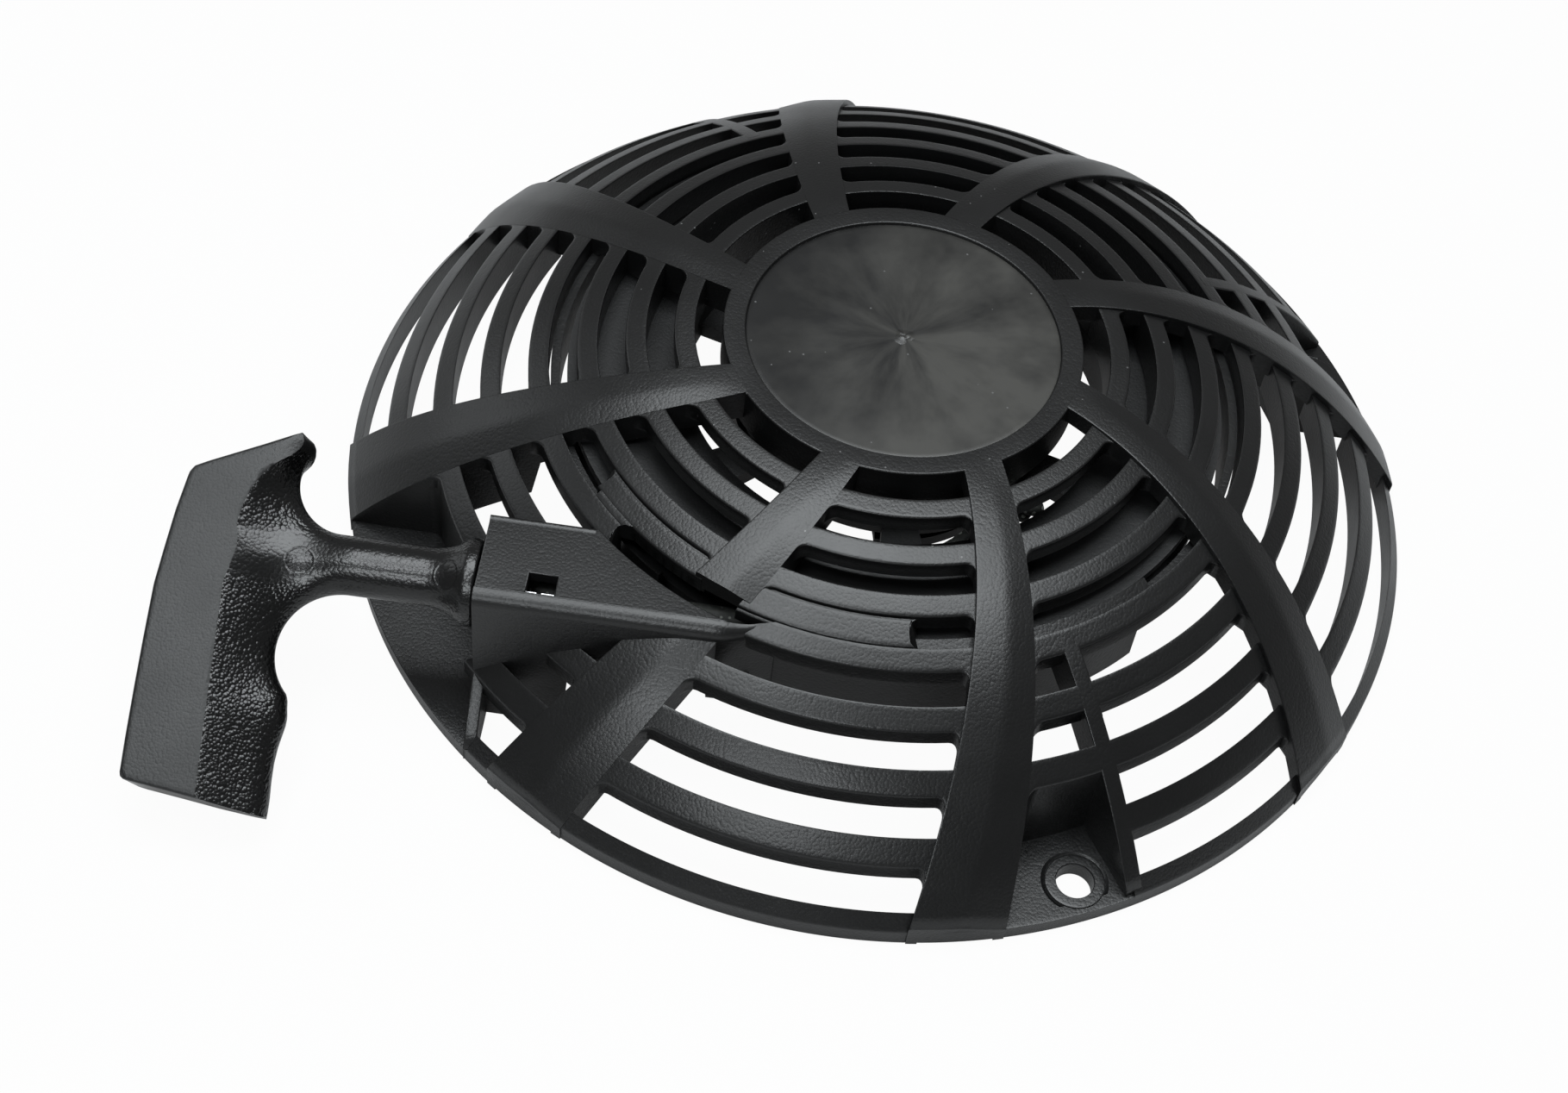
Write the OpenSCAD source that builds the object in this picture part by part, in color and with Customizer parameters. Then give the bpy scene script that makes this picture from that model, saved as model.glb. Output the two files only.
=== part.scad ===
// Recoil starter for a small engine: a slotted dome over a rope pulley, with a T grip.
// The starter's axis is Z, the rim stands on z = 0, and the rope leaves towards -X.

/* [Housing] */
// Outer radius of the rim that sits on the engine
rim_r = 115; // [110:1:122]
// Height of the upright band round the rim
rim_h = 4; // [3:0.5:6]
// Width of the rim outside the last slot
rim_w = 2.5; // [2:0.1:4]
// Height of the hub ring over the rim's underside
dome_h = 47.4; // [46:0.2:52]
// Radius at which the dome starts to fall
dome_flat_r = 30; // [26:1:34]
// Thickness of the moulded wall
wall = 2.8; // [2:0.1:3.2]
// Radius of the sunk disc in the middle
disc_r = 32.8; // [28:0.2:35]
// Depth of the sunk disc
disc_sink = 0.6; // [0.2:0.1:1]
// Outer radius of the ring round the disc
hub_r = 37.4; // [36:0.2:40]
// Number of rings of slots
slot_rows = 8; // [6:1:9]
// Width of a slot
slot_w = 5.7; // [4.5:0.1:6.5]

/* [Spokes] */
// Number of swept spokes
spoke_count = 8; // [8:4:8]
// Height of a spoke over the slats
spoke_rise = 1.4; // [0.8:0.1:2.2]
// Length of a spoke's end past the rim
spoke_out = 1; // [0.5:0.1:1.5]
// Width of a spoke at the hub ring
spoke_w_hub = 8.3; // [7:0.1:10]
// Width of a spoke at the rim
spoke_w_rim = 19.2; // [16:0.2:21]
// Angle that a spoke sweeps from the hub ring to the rim
spoke_sweep = 17; // [12:0.5:20]
// Angle of the first spoke at the hub ring
spoke_angle = -60.7; // [-63:0.1:-58]
// Radius of a spoke's leading edge, seen from above
spoke_lead_arc = 158; // [140:1:190]
// Radius of a spoke's trailing edge, seen from above
spoke_trail_arc = 190; // [160:1:230]

/* [Mounting] */
// Diameter of the circle through the mounting holes
bolt_circle_d = 216; // [214:0.5:217]
// Diameter of a mounting hole
bolt_hole_d = 7.5; // [6.5:0.1:8.5]
// Diameter of the pad round a mounting hole
bolt_pad_d = 12; // [11:0.2:13]
// Height of the pad round a mounting hole
bolt_pad_h = 0.4; // [0.2:0.1:1]
// Depth of a mounting pocket's floor under the top of the rim band
floor_step = 0.6; // [0.4:0.1:1]
// Angle from a spoke's rim end to the mounting hole after it
bolt_lead = 13.3; // [12.5:0.1:14]
// Angle from the mounting hole to the bar beside it
bar_lead = 5; // [4.6:0.1:5.4]
// Width of the bar beside a mounting hole
bar_w = 3.4; // [2.6:0.1:4]
// Thickness of the walls round a mounting pocket
pocket_wall = 2.5; // [2:0.1:3]

/* [Rope and snout] */
// Diameter of the starter rope
rope_d = 4.5; // [4:0.1:5]
// Gap between the pulley's edge and the dome over it
pulley_gap = 2.56; // [2:0.02:3]
// Radius of the outer turn of rope on the pulley
rope_r = 65; // [64:0.2:66]
// Turns of rope on the pulley
rope_turns = 3; // [2:1:3]
// Gap between two turns of rope
rope_gap = 0.6; // [0.55:0.05:0.8]
// Distance of the snout's open end inside the rim
snout_inset = 39; // [37:0.5:41]
// Width of the snout
snout_w = 21.6; // [20:0.2:23]
// Height of the snout's flat top over the rope
snout_above = 8.5; // [8:0.1:9]
// Thickness of the snout's walls
snout_wall = 2.4; // [2:0.1:2.8]
// Depth of the snout's sill under the rope
snout_below = 6.3; // [5.5:0.1:7]
// Radius of the snout's front top edge
snout_round = 2.6; // [1.5:0.1:3.4]
// Width of the slot over the pulley's edge where the rope runs off
rope_slot_w = 4.7; // [4:0.1:5.2]
// Distance of the square window from the snout's end
window_in = 10; // [8:0.5:12]
// Length of the square window in the snout's top
window_len = 5.6; // [4:0.2:7]
// Width of the square window in the snout's top
window_w = 4.6; // [3.6:0.2:6]
// Thickness of the steel rope guide
guide_t = 1.2; // [0.8:0.1:1.6]
// Distance of the rope guide inside the snout's end
guide_in = 4; // [3:0.2:5]
// Length of the rope guide's sides
guide_len = 12; // [11:0.2:13]
// Diameter of the rope guide's hole
guide_hole_d = 6.5; // [6:0.1:7]

/* [Pulley and spring] */
// Height of the pulley's flanges over the rope
flange_lip = 1.75; // [1.4:0.05:2]
// Thickness of a pulley flange
flange_t = 2; // [1.6:0.1:2.4]
// Width of the rope groove
groove_w = 5.6; // [5.4:0.1:6]
// Thickness of the ring under the rope
core_t = 2.5; // [2:0.1:3]
// Thickness of the pulley's web
web_t = 3.5; // [3:0.1:4]
// Radius of the post that the pulley turns on
post_r = 8; // [7:0.1:8.5]
// Radius of the pulley's hub
hub_tube_r = 12.5; // [11.5:0.1:13]
// Gap on each side of the rope's inner knot
knot_gap = 1.25; // [1:0.05:1.5]
// Wall of the cup round the rewind spring
cup_wall = 2.5; // [2:0.1:2.8]
// Width of the rewind spring's strip
strip_w = 11; // [9:0.2:11.4]
// Thickness of the rewind spring's strip
strip_t = 0.8; // [0.5:0.05:1]
// Turns of the rewind spring
strip_turns = 7; // [5:1:8]
// Thickness of the steel cover over the rewind spring
keeper_t = 0.8; // [0.6:0.1:1.2]

/* [Ratchet] */
// Radius of the circle of the pawl posts
pawl_post_r = 20; // [19.5:0.1:20.5]
// Diameter of a pawl post
pawl_pin_d = 6; // [5:0.1:6.4]
// Length of a pawl from its post to its tip
pawl_len = 17; // [15:0.2:18]
// Thickness of a pawl
pawl_t = 6.3; // [5:0.1:6.6]
// Width of a pawl's tip
pawl_tip_w = 4.6; // [4:0.1:5]
// Depth of a pawl's tip under the line through its post
pawl_tip_drop = 1.2; // [0.8:0.1:1.6]
// Angle that a pawl swings out
pawl_swing = 45; // [40:1:46]
// Angle that the friction plate lags behind the pulley
plate_lag = 36; // [30:1:38]
// Diameter of the pin under a pawl
follower_d = 3.6; // [3:0.1:4]
// Distance of that pin from the pawl's post
follower_arm = 7; // [6.6:0.1:7.6]
// Radius of the friction plate
plate_r = 28; // [27.5:0.1:29]
// Thickness of the friction plate
plate_t = 2.6; // [2:0.1:3]
// Radius of the notch in the friction plate's edge beside each pawl
notch_r = 15; // [14:0.2:16]
// Distance of that notch's middle outside the friction plate
notch_out = 4; // [3.6:0.1:5]
// Wall of the friction plate's boss round the screw's shoulder
boss_wall = 3; // [2:0.1:3.2]
// Diameter of the screw's shoulder
shoulder_d = 8; // [7:0.1:9]
// Diameter of the screw's thread
thread_d = 6; // [5:0.1:6.4]
// Diameter of the screw's hexagon head over its corners
screw_head_d = 11; // [10:0.2:13]
// Diameter of the flange under the screw's head
screw_flange_d = 15; // [14:0.2:16]
// Thickness of the flange under the screw's head
screw_flange_t = 1.3; // [1:0.1:1.5]
// Height of the screw's hexagon head
screw_head_h = 3.4; // [3:0.1:4]
// Thickness of the thrust washer
washer_t = 1.5; // [1:0.1:1.8]
// Diameter of the friction spring's wire
spring_wire_d = 0.9; // [0.7:0.05:1]
// Height of the space that the friction spring fills
spring_h = 5.2; // [5:0.1:6]
// Turns of the friction spring
spring_turns = 2.5; // [1.5:0.5:2.5]

/* [Grip] */
// Angle that the grip's long arm hangs down
grip_tilt = 26; // [22:0.5:26]
// Thickness of the grip
grip_t = 15; // [13:0.2:15.6]
// Reach of the grip's short arm from the rope
grip_up = 24; // [22:0.2:26]
// Reach of the grip's long arm from the rope
grip_down = 50.8; // [48:0.2:51]
// Distance from the snout's end to the grip's finger side
grip_start = 32.8; // [30:0.2:36]
// Depth of the grip along the rope
grip_depth = 27.4; // [25:0.2:30]
// Radius of the grip's stem
stem_r = 5.8; // [5:0.1:6.4]
// Radius of the flange at the stem's end
stem_flange_r = 8.7; // [8:0.1:9.4]
// Radius of the gap for the finger over the stem
finger_r = 10.2; // [9:0.1:11]
// Distance of that gap's middle from the grip's finger side
finger_in = 4.6; // [4:0.1:5]
// Radius of the gap for the finger under the stem
lower_finger_r = 12.2; // [11:0.1:13]
// Distance of that gap's middle from the grip's finger side
lower_finger_in = 7.8; // [7:0.1:8.6]
// Radius of the hollow at the end of the long arm
end_finger_r = 13.6; // [13:0.1:14]
// Distance of that hollow's middle from the grip's finger side
end_finger_in = 13; // [12.4:0.1:13.6]
// Distance of that hollow's middle from the stem
end_finger_down = 34.5; // [33:0.2:36]
// Width of the short arm's tip
grip_tip_w = 3.4; // [2.8:0.1:4]
// Height that the short arm falls from its tip to the back
grip_head_fall = 10; // [8:0.2:12]
// Distance of the short arm's back corner in front of the back
grip_head_in = 2.2; // [1:0.1:3]
// Height that the long arm's end rises to the back
grip_foot_rise = 3.4; // [2:0.1:4]
// Distance of the long arm's back corner in front of the back
grip_foot_in = 0.4; // [0.2:0.1:1]
// Distance of the widest place of the back under the rope
grip_knee = 8; // [6:0.5:10]
// Length of the flange at the stem's end
stem_flange_t = 4; // [3.4:0.1:4.6]
// Radius of the pocket for the knot
knot_pocket_r = 5.2; // [4.8:0.1:5.4]

/* [Hidden] */
$fn = 64;

// Clearances
play = 0.3;
run_fit = 0.05;
flange_room = 0.8;
eps = 0.01;

// Flat strip left between a spoke's side and a slot's end
ledge = 0.3;

// Dome, as one arc from the flat middle to the top of the rim band
dome_fall = dome_h - rim_h;
dome_arc_r = (pow(rim_r - dome_flat_r, 2) + pow(dome_fall, 2)) / (2 * dome_fall);
dome_arc_z = dome_h - dome_arc_r;
tall = dome_h + 10;
slot_pitch = (rim_r - rim_w - slot_w - hub_r) / (slot_rows - 1);
disc_under = dome_h - disc_sink - wall;
function dome_under(r) = dome_arc_z + sqrt(pow(dome_arc_r - wall, 2) - pow(r - dome_flat_r, 2));
function slot_in(k) = hub_r + k * slot_pitch;

// Spokes
spoke_step = 360 / spoke_count;
spoke_rim_angle = spoke_angle - spoke_sweep;
function on_circle(r, a) = [r * cos(a), r * sin(a)];
function half_angle(w, r) = asin(w / 2 / r);
function arc_middle(p, q, r) =
    let (d = (q - p) / norm(q - p), sag = sqrt(r * r - pow(norm(q - p) / 2, 2)))
    (p + q) / 2 - sag * [-d.y, d.x];
spoke_hub_half = half_angle(spoke_w_hub, hub_r);
spoke_rim_half = half_angle(spoke_w_rim, rim_r);
lead_middle = arc_middle(on_circle(hub_r, spoke_angle - spoke_hub_half),
                         on_circle(rim_r, spoke_rim_angle - spoke_rim_half), spoke_lead_arc);
trail_middle = arc_middle(on_circle(hub_r, spoke_angle + spoke_hub_half),
                          on_circle(rim_r, spoke_rim_angle + spoke_rim_half), spoke_trail_arc);

// Mounting pockets, one after every second spoke, the last one under the snout
bolt_angle = spoke_rim_angle + bolt_lead;
bar_angle = bolt_angle + bar_lead;
bolt_step = 90;
floor_h = rim_h - floor_step;
snout_turn = -90;
pocket_r = slot_in(6) + ledge;
pocket_from = spoke_rim_angle - 8;
bar_half = half_angle(bar_w, pocket_r);
bar_r = slot_in(4) - slot_pitch / 4;

// Rope knots
knot_r = 2.1;
knot_loop = knot_r + 0.1;
knot_half = knot_r + knot_loop;
knot_bite = 0.1;

// Pulley, stacked round the rope groove under the dome
flange_r = rope_r + rope_d / 2 + flange_lip;
pulley_top = dome_under(flange_r) - pulley_gap;
rope_z = pulley_top - flange_t - groove_w / 2;
groove_bottom = rope_z - groove_w / 2;
groove_top = rope_z + groove_w / 2;
pulley_bottom = groove_bottom - flange_t;
web_top = pulley_bottom + web_t;
rope_pitch = rope_d + rope_gap;
core_r = rope_r - rope_turns * rope_pitch - rope_d / 2 - play;
core_in = core_r - core_t;
cup_r = core_in - 2 * (knot_half + knot_gap) - cup_wall;
strip_bottom = web_top + play;
cup_top = strip_bottom + strip_w + play;
guard_in = flange_r + 1.5;
guard_t = 2.5;
guard_bottom = pulley_bottom - 2.7;
tail_sweep = 36;
knot_reach = rope_d + knot_half - knot_bite;
tail_end_r = sqrt(pow(core_in - knot_gap - knot_half, 2) - pow(knot_reach, 2));

// Snout, round the rope
snout_end = rim_r - snout_inset;
snout_top = rope_z + snout_above;
snout_sill = rope_z - snout_below;
rope_slot_in = flange_r + 2.7;
rope_slot_from = -134.8;
rope_slot_to = -103.5;
fill_from = -142;
fill_to = -84;
guard_from = -101;
guard_to = -42;

// Ratchet, stacked under the pulley
pawl_boss_h = 3.4;
pawl_top = pulley_bottom - pawl_boss_h - play;
pawl_bottom = pawl_top - pawl_t;
plate_top = pawl_bottom - play;
plate_bottom = plate_top - plate_t;
hub_bottom = pulley_bottom - 7.3;
post_bottom = hub_bottom - play;
washer_bottom = post_bottom - washer_t;
washer_r = hub_tube_r - 0.5;
head_top = plate_bottom - spring_h;
head_bottom = head_top - screw_flange_t - screw_head_h;
pawl_rest = -100;
pawl_ring_r = pawl_pin_d / 2 + 2.5;
pawl_side_in = 0.5;
pin_short = 0.4;
follower_out = 0.6;
follower_root = 0.1;
insert_r = thread_d / 2 + 1.5;
insert_len = 12;
thread_top = post_bottom + insert_len;
thread_short = 2;
spring_r = shoulder_d / 2 + 2;

// Grip
grip_gap = play;
grip_back = grip_start + grip_depth;
finger_side = grip_t / 2;
finger_bite = 0.2;
stem_in = 14;
insert_t = 3;
knot_seat = grip_back - insert_t - 2 * knot_half - 2;
rope_end = knot_seat + insert_t + play + knot_bite;

// Flat shapes
module ring2d(ri, ro) {
    difference() {
        circle(ro);
        circle(ri);
    }
}

module sector2d(from, to, ri, ro) {
    far = 1.2 * ro;
    steps = max(1, ceil((to - from) / 60));
    intersection() {
        ring2d(ri, ro);
        polygon(concat([[0, 0]], [for (i = [0 : steps]) on_circle(far, from + (to - from) * i / steps)]));
    }
}

// The falling part of the dome's wall in section, from the surface raised by rise to drop under it
module dome_band2d(rise, drop, to_r) {
    intersection() {
        translate([dome_flat_r - eps, 0]) square([to_r - dome_flat_r + eps, tall]);
        translate([dome_flat_r, dome_arc_z]) ring2d(dome_arc_r - drop, dome_arc_r + rise);
    }
}

// All the space under the middle of the dome's wall, in section
module under_dome2d() {
    intersection() {
        translate([dome_flat_r - eps, 0]) square([rim_r - rim_w / 2 - dome_flat_r + eps, tall]);
        translate([dome_flat_r, dome_arc_z]) circle(dome_arc_r - wall / 2);
    }
    square([dome_flat_r, dome_h - wall / 2]);
}

module under_dome() {
    intersection() {
        linear_extrude(tall) children();
        rotate_extrude() under_dome2d();
    }
}

// The spokes seen from above, each side moved out by more
module spokes2d(more) {
    for (k = [0 : spoke_count - 1]) rotate(k * spoke_step) intersection() {
        sector2d(spoke_rim_angle - 20, spoke_angle + 20, disc_r + 1, rim_r + spoke_out);
        difference() {
            translate(trail_middle) circle(spoke_trail_arc + more);
            translate(lead_middle) circle(spoke_lead_arc - more);
        }
    }
}

// The far side of a pocket: the bar beside the hole, or the plane of the snout's end
module pocket_side2d(turn, inset) {
    if (turn == snout_turn)
        translate([-2 * rim_r - snout_end + snout_wall - inset, -2 * rim_r]) square(2 * rim_r);
    else
        rotate(turn) sector2d(pocket_from, bar_angle + (inset > 0 ? -bar_half : bar_half / 2), 1, 2 * rim_r);
}

// Outline of a mounting pocket, from the spoke's trailing edge, drawn in by inset
module pocket2d(turn, inset) {
    intersection() {
        difference() {
            rotate(turn)
                sector2d(pocket_from, bar_angle + 30, pocket_r - pocket_wall + inset, rim_r + inset);
            rotate(turn) translate(trail_middle) circle(spoke_trail_arc + ledge - pocket_wall + inset);
        }
        pocket_side2d(turn, inset);
    }
}

// Plain dome between the snout and the pocket under it, seen from above
module snout_field2d() {
    translate([-snout_end - ledge, -rope_r - snout_w / 2 - ledge])
        square([snout_end - rope_r / 4, snout_w + 2 * ledge]);
    sector2d(fill_from, fill_to, slot_in(3) - 1, slot_in(3) + slot_w + 1);
}

module bar2d(turn) {
    rotate(turn) sector2d(bar_angle - bar_half, bar_angle + bar_half, bar_r, rim_r);
}

// All the slots, seen from above
module slots2d() {
    difference() {
        for (k = [0 : slot_rows - 1]) ring2d(slot_in(k), slot_in(k) + slot_w);
        spokes2d(ledge);
        for (k = [0 : 2]) {
            bar2d(k * bolt_step);
            pocket2d(k * bolt_step, -ledge);
        }
        pocket2d(snout_turn, -ledge);
        snout_field2d();
    }
}

module dome() {
    difference() {
        union() {
            rotate_extrude() {
                dome_band2d(0, wall, rim_r);
                translate([0, dome_h - wall]) square([dome_flat_r, wall]);
                translate([rim_r - rim_w, 0]) square([rim_w, rim_h]);
            }
            intersection() {
                linear_extrude(tall) spokes2d(0);
                rotate_extrude() dome_band2d(spoke_rise, wall / 2, rim_r + 2 * spoke_out);
            }
        }
        translate([0, 0, -1]) linear_extrude(tall) slots2d();
    }
}

module at_bolts() {
    for (k = [0 : 3])
        rotate(bolt_angle + k * bolt_step) translate([bolt_circle_d / 2, 0]) children();
}

module pocket_spaces() {
    translate([0, 0, floor_h]) difference() {
        linear_extrude(tall) for (k = [-1 : 2]) pocket2d(k * bolt_step, pocket_wall);
        at_bolts() cylinder(d = bolt_pad_d, h = bolt_pad_h);
    }
}

// Section of the snout across the rope, with its front top edge rounded
module snout2d() {
    low = snout_sill - snout_wall;
    translate([-snout_w / 2, low]) square([snout_w, snout_top - snout_round - low]);
    translate([-snout_w / 2, low]) square([snout_w - snout_round, snout_top - low]);
    translate([snout_w / 2 - snout_round, snout_top - snout_round]) circle(snout_round);
}

// Carries a section drawn across the rope along the snout
module along_snout(from, to) {
    translate([-from, -rope_r, 0]) rotate([90, 0, -90]) linear_extrude(to - from) children();
}

module snout_shell() {
    difference() {
        union() {
            along_snout(0, snout_end) snout2d();
            under_dome() translate([-snout_end, -rope_r - snout_w / 2])
                square([snout_end - rope_r / 2, snout_wall]);
        }
        translate([0, 0, -1]) cylinder(r = guard_in + 0.5, h = tall);
    }
}

module snout_space() {
    along_snout(rope_r / 4, snout_end + 1)
        translate([-snout_w / 2 + snout_wall, snout_sill])
            square([snout_w - 2 * snout_wall, snout_top - snout_sill - snout_wall]);
}

// Room for the grip's flange to turn in front of the snout
module flange_space() {
    translate([-snout_end, -rope_r, rope_z]) rotate([0, -90, 0])
        cylinder(r = stem_flange_r + flange_room, h = 2 * stem_flange_r);
}

// Slot over the pulley's edge, and the square window in the snout's top
module rope_openings() {
    translate([0, 0, snout_top - snout_wall - 1]) linear_extrude(tall)
        sector2d(rope_slot_from, rope_slot_to, rope_slot_in, rope_slot_in + rope_slot_w);
    translate([-snout_end + window_in, -rope_r - snout_w / 2 + snout_wall + 0.9, snout_top - snout_wall - 1])
        cube([window_len, window_w, tall]);
}

module housing() {
    color([0.09, 0.09, 0.095]) difference() {
        union() {
            dome();
            under_dome() for (k = [-1 : 2]) pocket2d(k * bolt_step, 0);
            snout_shell();
            difference() {
                under_dome() sector2d(guard_from, guard_to, guard_in, guard_in + guard_t);
                translate([0, 0, -1]) cylinder(r = rim_r, h = guard_bottom + 1);
            }
            translate([0, 0, post_bottom]) cylinder(r = post_r, h = disc_under - post_bottom + wall / 2);
        }
        pocket_spaces();
        snout_space();
        flange_space();
        rope_openings();
        at_bolts() translate([0, 0, -1]) cylinder(d = bolt_hole_d, h = floor_h + bolt_pad_h + 2);
        translate([0, 0, dome_h - disc_sink]) cylinder(r = disc_r, h = tall);
        translate([0, 0, post_bottom - 1]) cylinder(r = insert_r + run_fit, h = insert_len + 1);
        translate([-post_r - 1, -play, strip_bottom - play])
            cube([hook_len + 1 + play, strip_t + 2 * play, strip_w + 2 * play]);
    }
}

// Bent steel guide in the snout, with a hole for the rope
module rope_guide() {
    gw = snout_w - 2 * snout_wall - play;
    gh = snout_top - snout_sill - snout_wall - play;
    color([0.75, 0.75, 0.77]) translate([-snout_end + guide_in, -rope_r, snout_sill + play / 2])
        difference() {
            union() {
                translate([guide_len, -gw / 2, 0]) cube([guide_t, gw, gh]);
                for (y = [-gw / 2, gw / 2 - guide_t]) translate([0, y, 0])
                    cube([guide_len + eps, guide_t, gh]);
            }
            translate([guide_len - 1, 0, rope_z - snout_sill - play / 2]) rotate([0, 90, 0])
                cylinder(d = guide_hole_d, h = guide_t + 3);
        }
}

// Threaded insert in the post
module post_insert() {
    color([0.78, 0.62, 0.3]) translate([0, 0, post_bottom]) difference() {
        cylinder(r = insert_r, h = insert_len - play);
        translate([0, 0, -1]) cylinder(d = thread_d, h = insert_len + 2);
    }
}

module thrust_washer() {
    color([0.7, 0.7, 0.72]) translate([0, 0, washer_bottom]) difference() {
        cylinder(r = washer_r, h = washer_t);
        translate([0, 0, -1]) cylinder(d = thread_d + 4 * run_fit, h = washer_t + 2);
    }
}

// Shoulder screw that holds the friction plate
module plate_screw() {
    flange_middle = head_top - screw_flange_t / 2;
    color([0.72, 0.7, 0.62]) {
        translate([0, 0, head_bottom])
            cylinder(d = screw_head_d, h = flange_middle - head_bottom, $fn = 6);
        translate([0, 0, head_top - screw_flange_t]) cylinder(d = screw_flange_d, h = screw_flange_t);
        translate([0, 0, flange_middle]) cylinder(d = shoulder_d, h = washer_bottom - flange_middle);
        translate([0, 0, flange_middle])
            cylinder(d = thread_d - 2 * run_fit, h = thread_top - thread_short - flange_middle);
    }
}

// Tube along a path: one ring of six points at each path point, in triangles
function ring_at(p, side, r) =
    [for (k = [0 : 5]) let (a = 60 * k + 30) p + r * (cos(a) * side + [0, 0, sin(a)])];
function path_side(path, i) =
    let (a = path[max(i - 1, 0)], b = path[min(i + 1, len(path) - 1)], d = b - a)
    [d.y, -d.x, 0] / norm([d.x, d.y]);

module tube(path, d) {
    n = len(path);
    points = [for (i = [0 : n - 1]) each ring_at(path[i], path_side(path, i), d / 2)];
    sides = [for (i = [0 : n - 2]) for (k = [0 : 5])
        let (a = 6 * i + k, b = 6 * i + (k + 1) % 6) each [[a, b, b + 6], [a, b + 6, a + 6]]];
    first = [for (k = [1 : 4]) [0, k + 1, k]];
    last = [for (k = [1 : 4]) 6 * (n - 1) * [1, 1, 1] + [0, k, k + 1]];
    polyhedron(points, concat(sides, first, last));
}

// Least gap between stretches of a path that are more than half a loop apart
function middles(path) = [for (i = [0 : len(path) - 2]) each [path[i], (path[i] + path[i + 1]) / 2]];
function least_gap(path, d, apart) =
    let (m = middles(path))
    min([for (i = [0 : len(m) - 1]) for (j = [i + 2 * apart : 1 : len(m) - 1]) norm(m[i] - m[j])]) - d;

// Friction spring, a short coil between the screw's flange and the friction plate
spring_rings = 12;
spring_from = head_top + play + spring_wire_d / 2;
spring_rise = plate_bottom - head_top - spring_wire_d - 2 * play;
spring_path = [for (i = [0 : spring_rings * spring_turns])
    let (t = i / (spring_rings * spring_turns))
    concat(on_circle(spring_r, 360 * spring_turns * t), spring_from + spring_rise * t)];
echo(friction_spring_least_gap = least_gap(spring_path, spring_wire_d, spring_rings / 2));

module friction_spring() {
    color([0.7, 0.7, 0.72]) tube(spring_path, spring_wire_d);
}

// Rewind spring, a strip wound from the post out to the cup
strip_rings = 24;
strip_in = post_r + 0.6;
hook_len = 2.4;
strip_out = cup_r - strip_t - 0.5;
function strip_point(t, edge) = on_circle(strip_in + edge * strip_t + (strip_out - strip_in) * t,
                                          180 + 360 * strip_turns * t);

module rewind_spring() {
    last = strip_rings * strip_turns;
    hook_in = [[-strip_in - strip_t, strip_t], [-post_r + hook_len, strip_t], [-post_r + hook_len, 0]];
    hook_out = [[-strip_out, -strip_t], [-strip_out - hook_len, -strip_t], [-strip_out - hook_len, 0]];
    color([0.45, 0.47, 0.5]) translate([0, 0, strip_bottom]) linear_extrude(strip_w)
        polygon(concat([for (i = [0 : last]) strip_point(i / last, 0)], hook_out,
                       [for (i = [last : -1 : 0]) strip_point(i / last, 1)], hook_in));
}

// Pulley with its rope groove, spring cup and pawl posts
window_count = 6;
window_turn = 12;
window_from = -77;

module pulley() {
    color([0.13, 0.13, 0.14]) difference() {
        union() {
            translate([0, 0, pulley_bottom]) cylinder(r = flange_r, h = flange_t);
            translate([0, 0, pulley_bottom]) cylinder(r = core_r, h = pulley_top - pulley_bottom);
            translate([0, 0, groove_top]) cylinder(r = flange_r, h = flange_t);
            translate([0, 0, hub_bottom]) cylinder(r = hub_tube_r, h = web_top - hub_bottom);
            translate([0, 0, pulley_bottom]) cylinder(r = cup_r + cup_wall, h = cup_top - pulley_bottom);
            for (k = [0, 1]) rotate(180 * k) translate([pawl_post_r, 0, 0]) {
                translate([0, 0, pulley_bottom - pawl_boss_h]) cylinder(r = pawl_ring_r, h = pawl_boss_h + 1);
                translate([0, 0, pawl_bottom + pin_short])
                    cylinder(d = pawl_pin_d, h = pulley_bottom - pawl_bottom);
            }
        }
        translate([0, 0, web_top]) cylinder(r = cup_r, h = tall);
        translate([0, 0, web_top]) linear_extrude(tall) ring2d(cup_r + cup_wall, core_in);
        translate([0, 0, hub_bottom - 1]) cylinder(r = post_r + run_fit, h = tall);
        translate([0, 0, pulley_bottom - 1]) linear_extrude(web_t + 2) for (k = [0 : window_count - 1])
            rotate(window_from + k * 360 / window_count)
                sector2d(0, 360 / window_count - window_turn, cup_r + cup_wall + 1, core_in + eps);
        translate([0, 0, groove_bottom]) linear_extrude(groove_w)
            sector2d(wind_from - 6, wind_from + tail_sweep + 14, core_in - 1, core_r + 1);
        translate([0, 0, strip_bottom - play]) linear_extrude(tall)
            translate([-strip_out - hook_len - play, -strip_t - play])
                square([hook_len, strip_t + 2 * play]);
    }
}

// Steel cover over the rewind spring
module spring_keeper() {
    color([0.62, 0.63, 0.65]) translate([0, 0, cup_top]) difference() {
        cylinder(r = cup_r + cup_wall, h = keeper_t);
        translate([0, 0, -1]) cylinder(r = post_r + 3, h = keeper_t + 2);
    }
}

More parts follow.
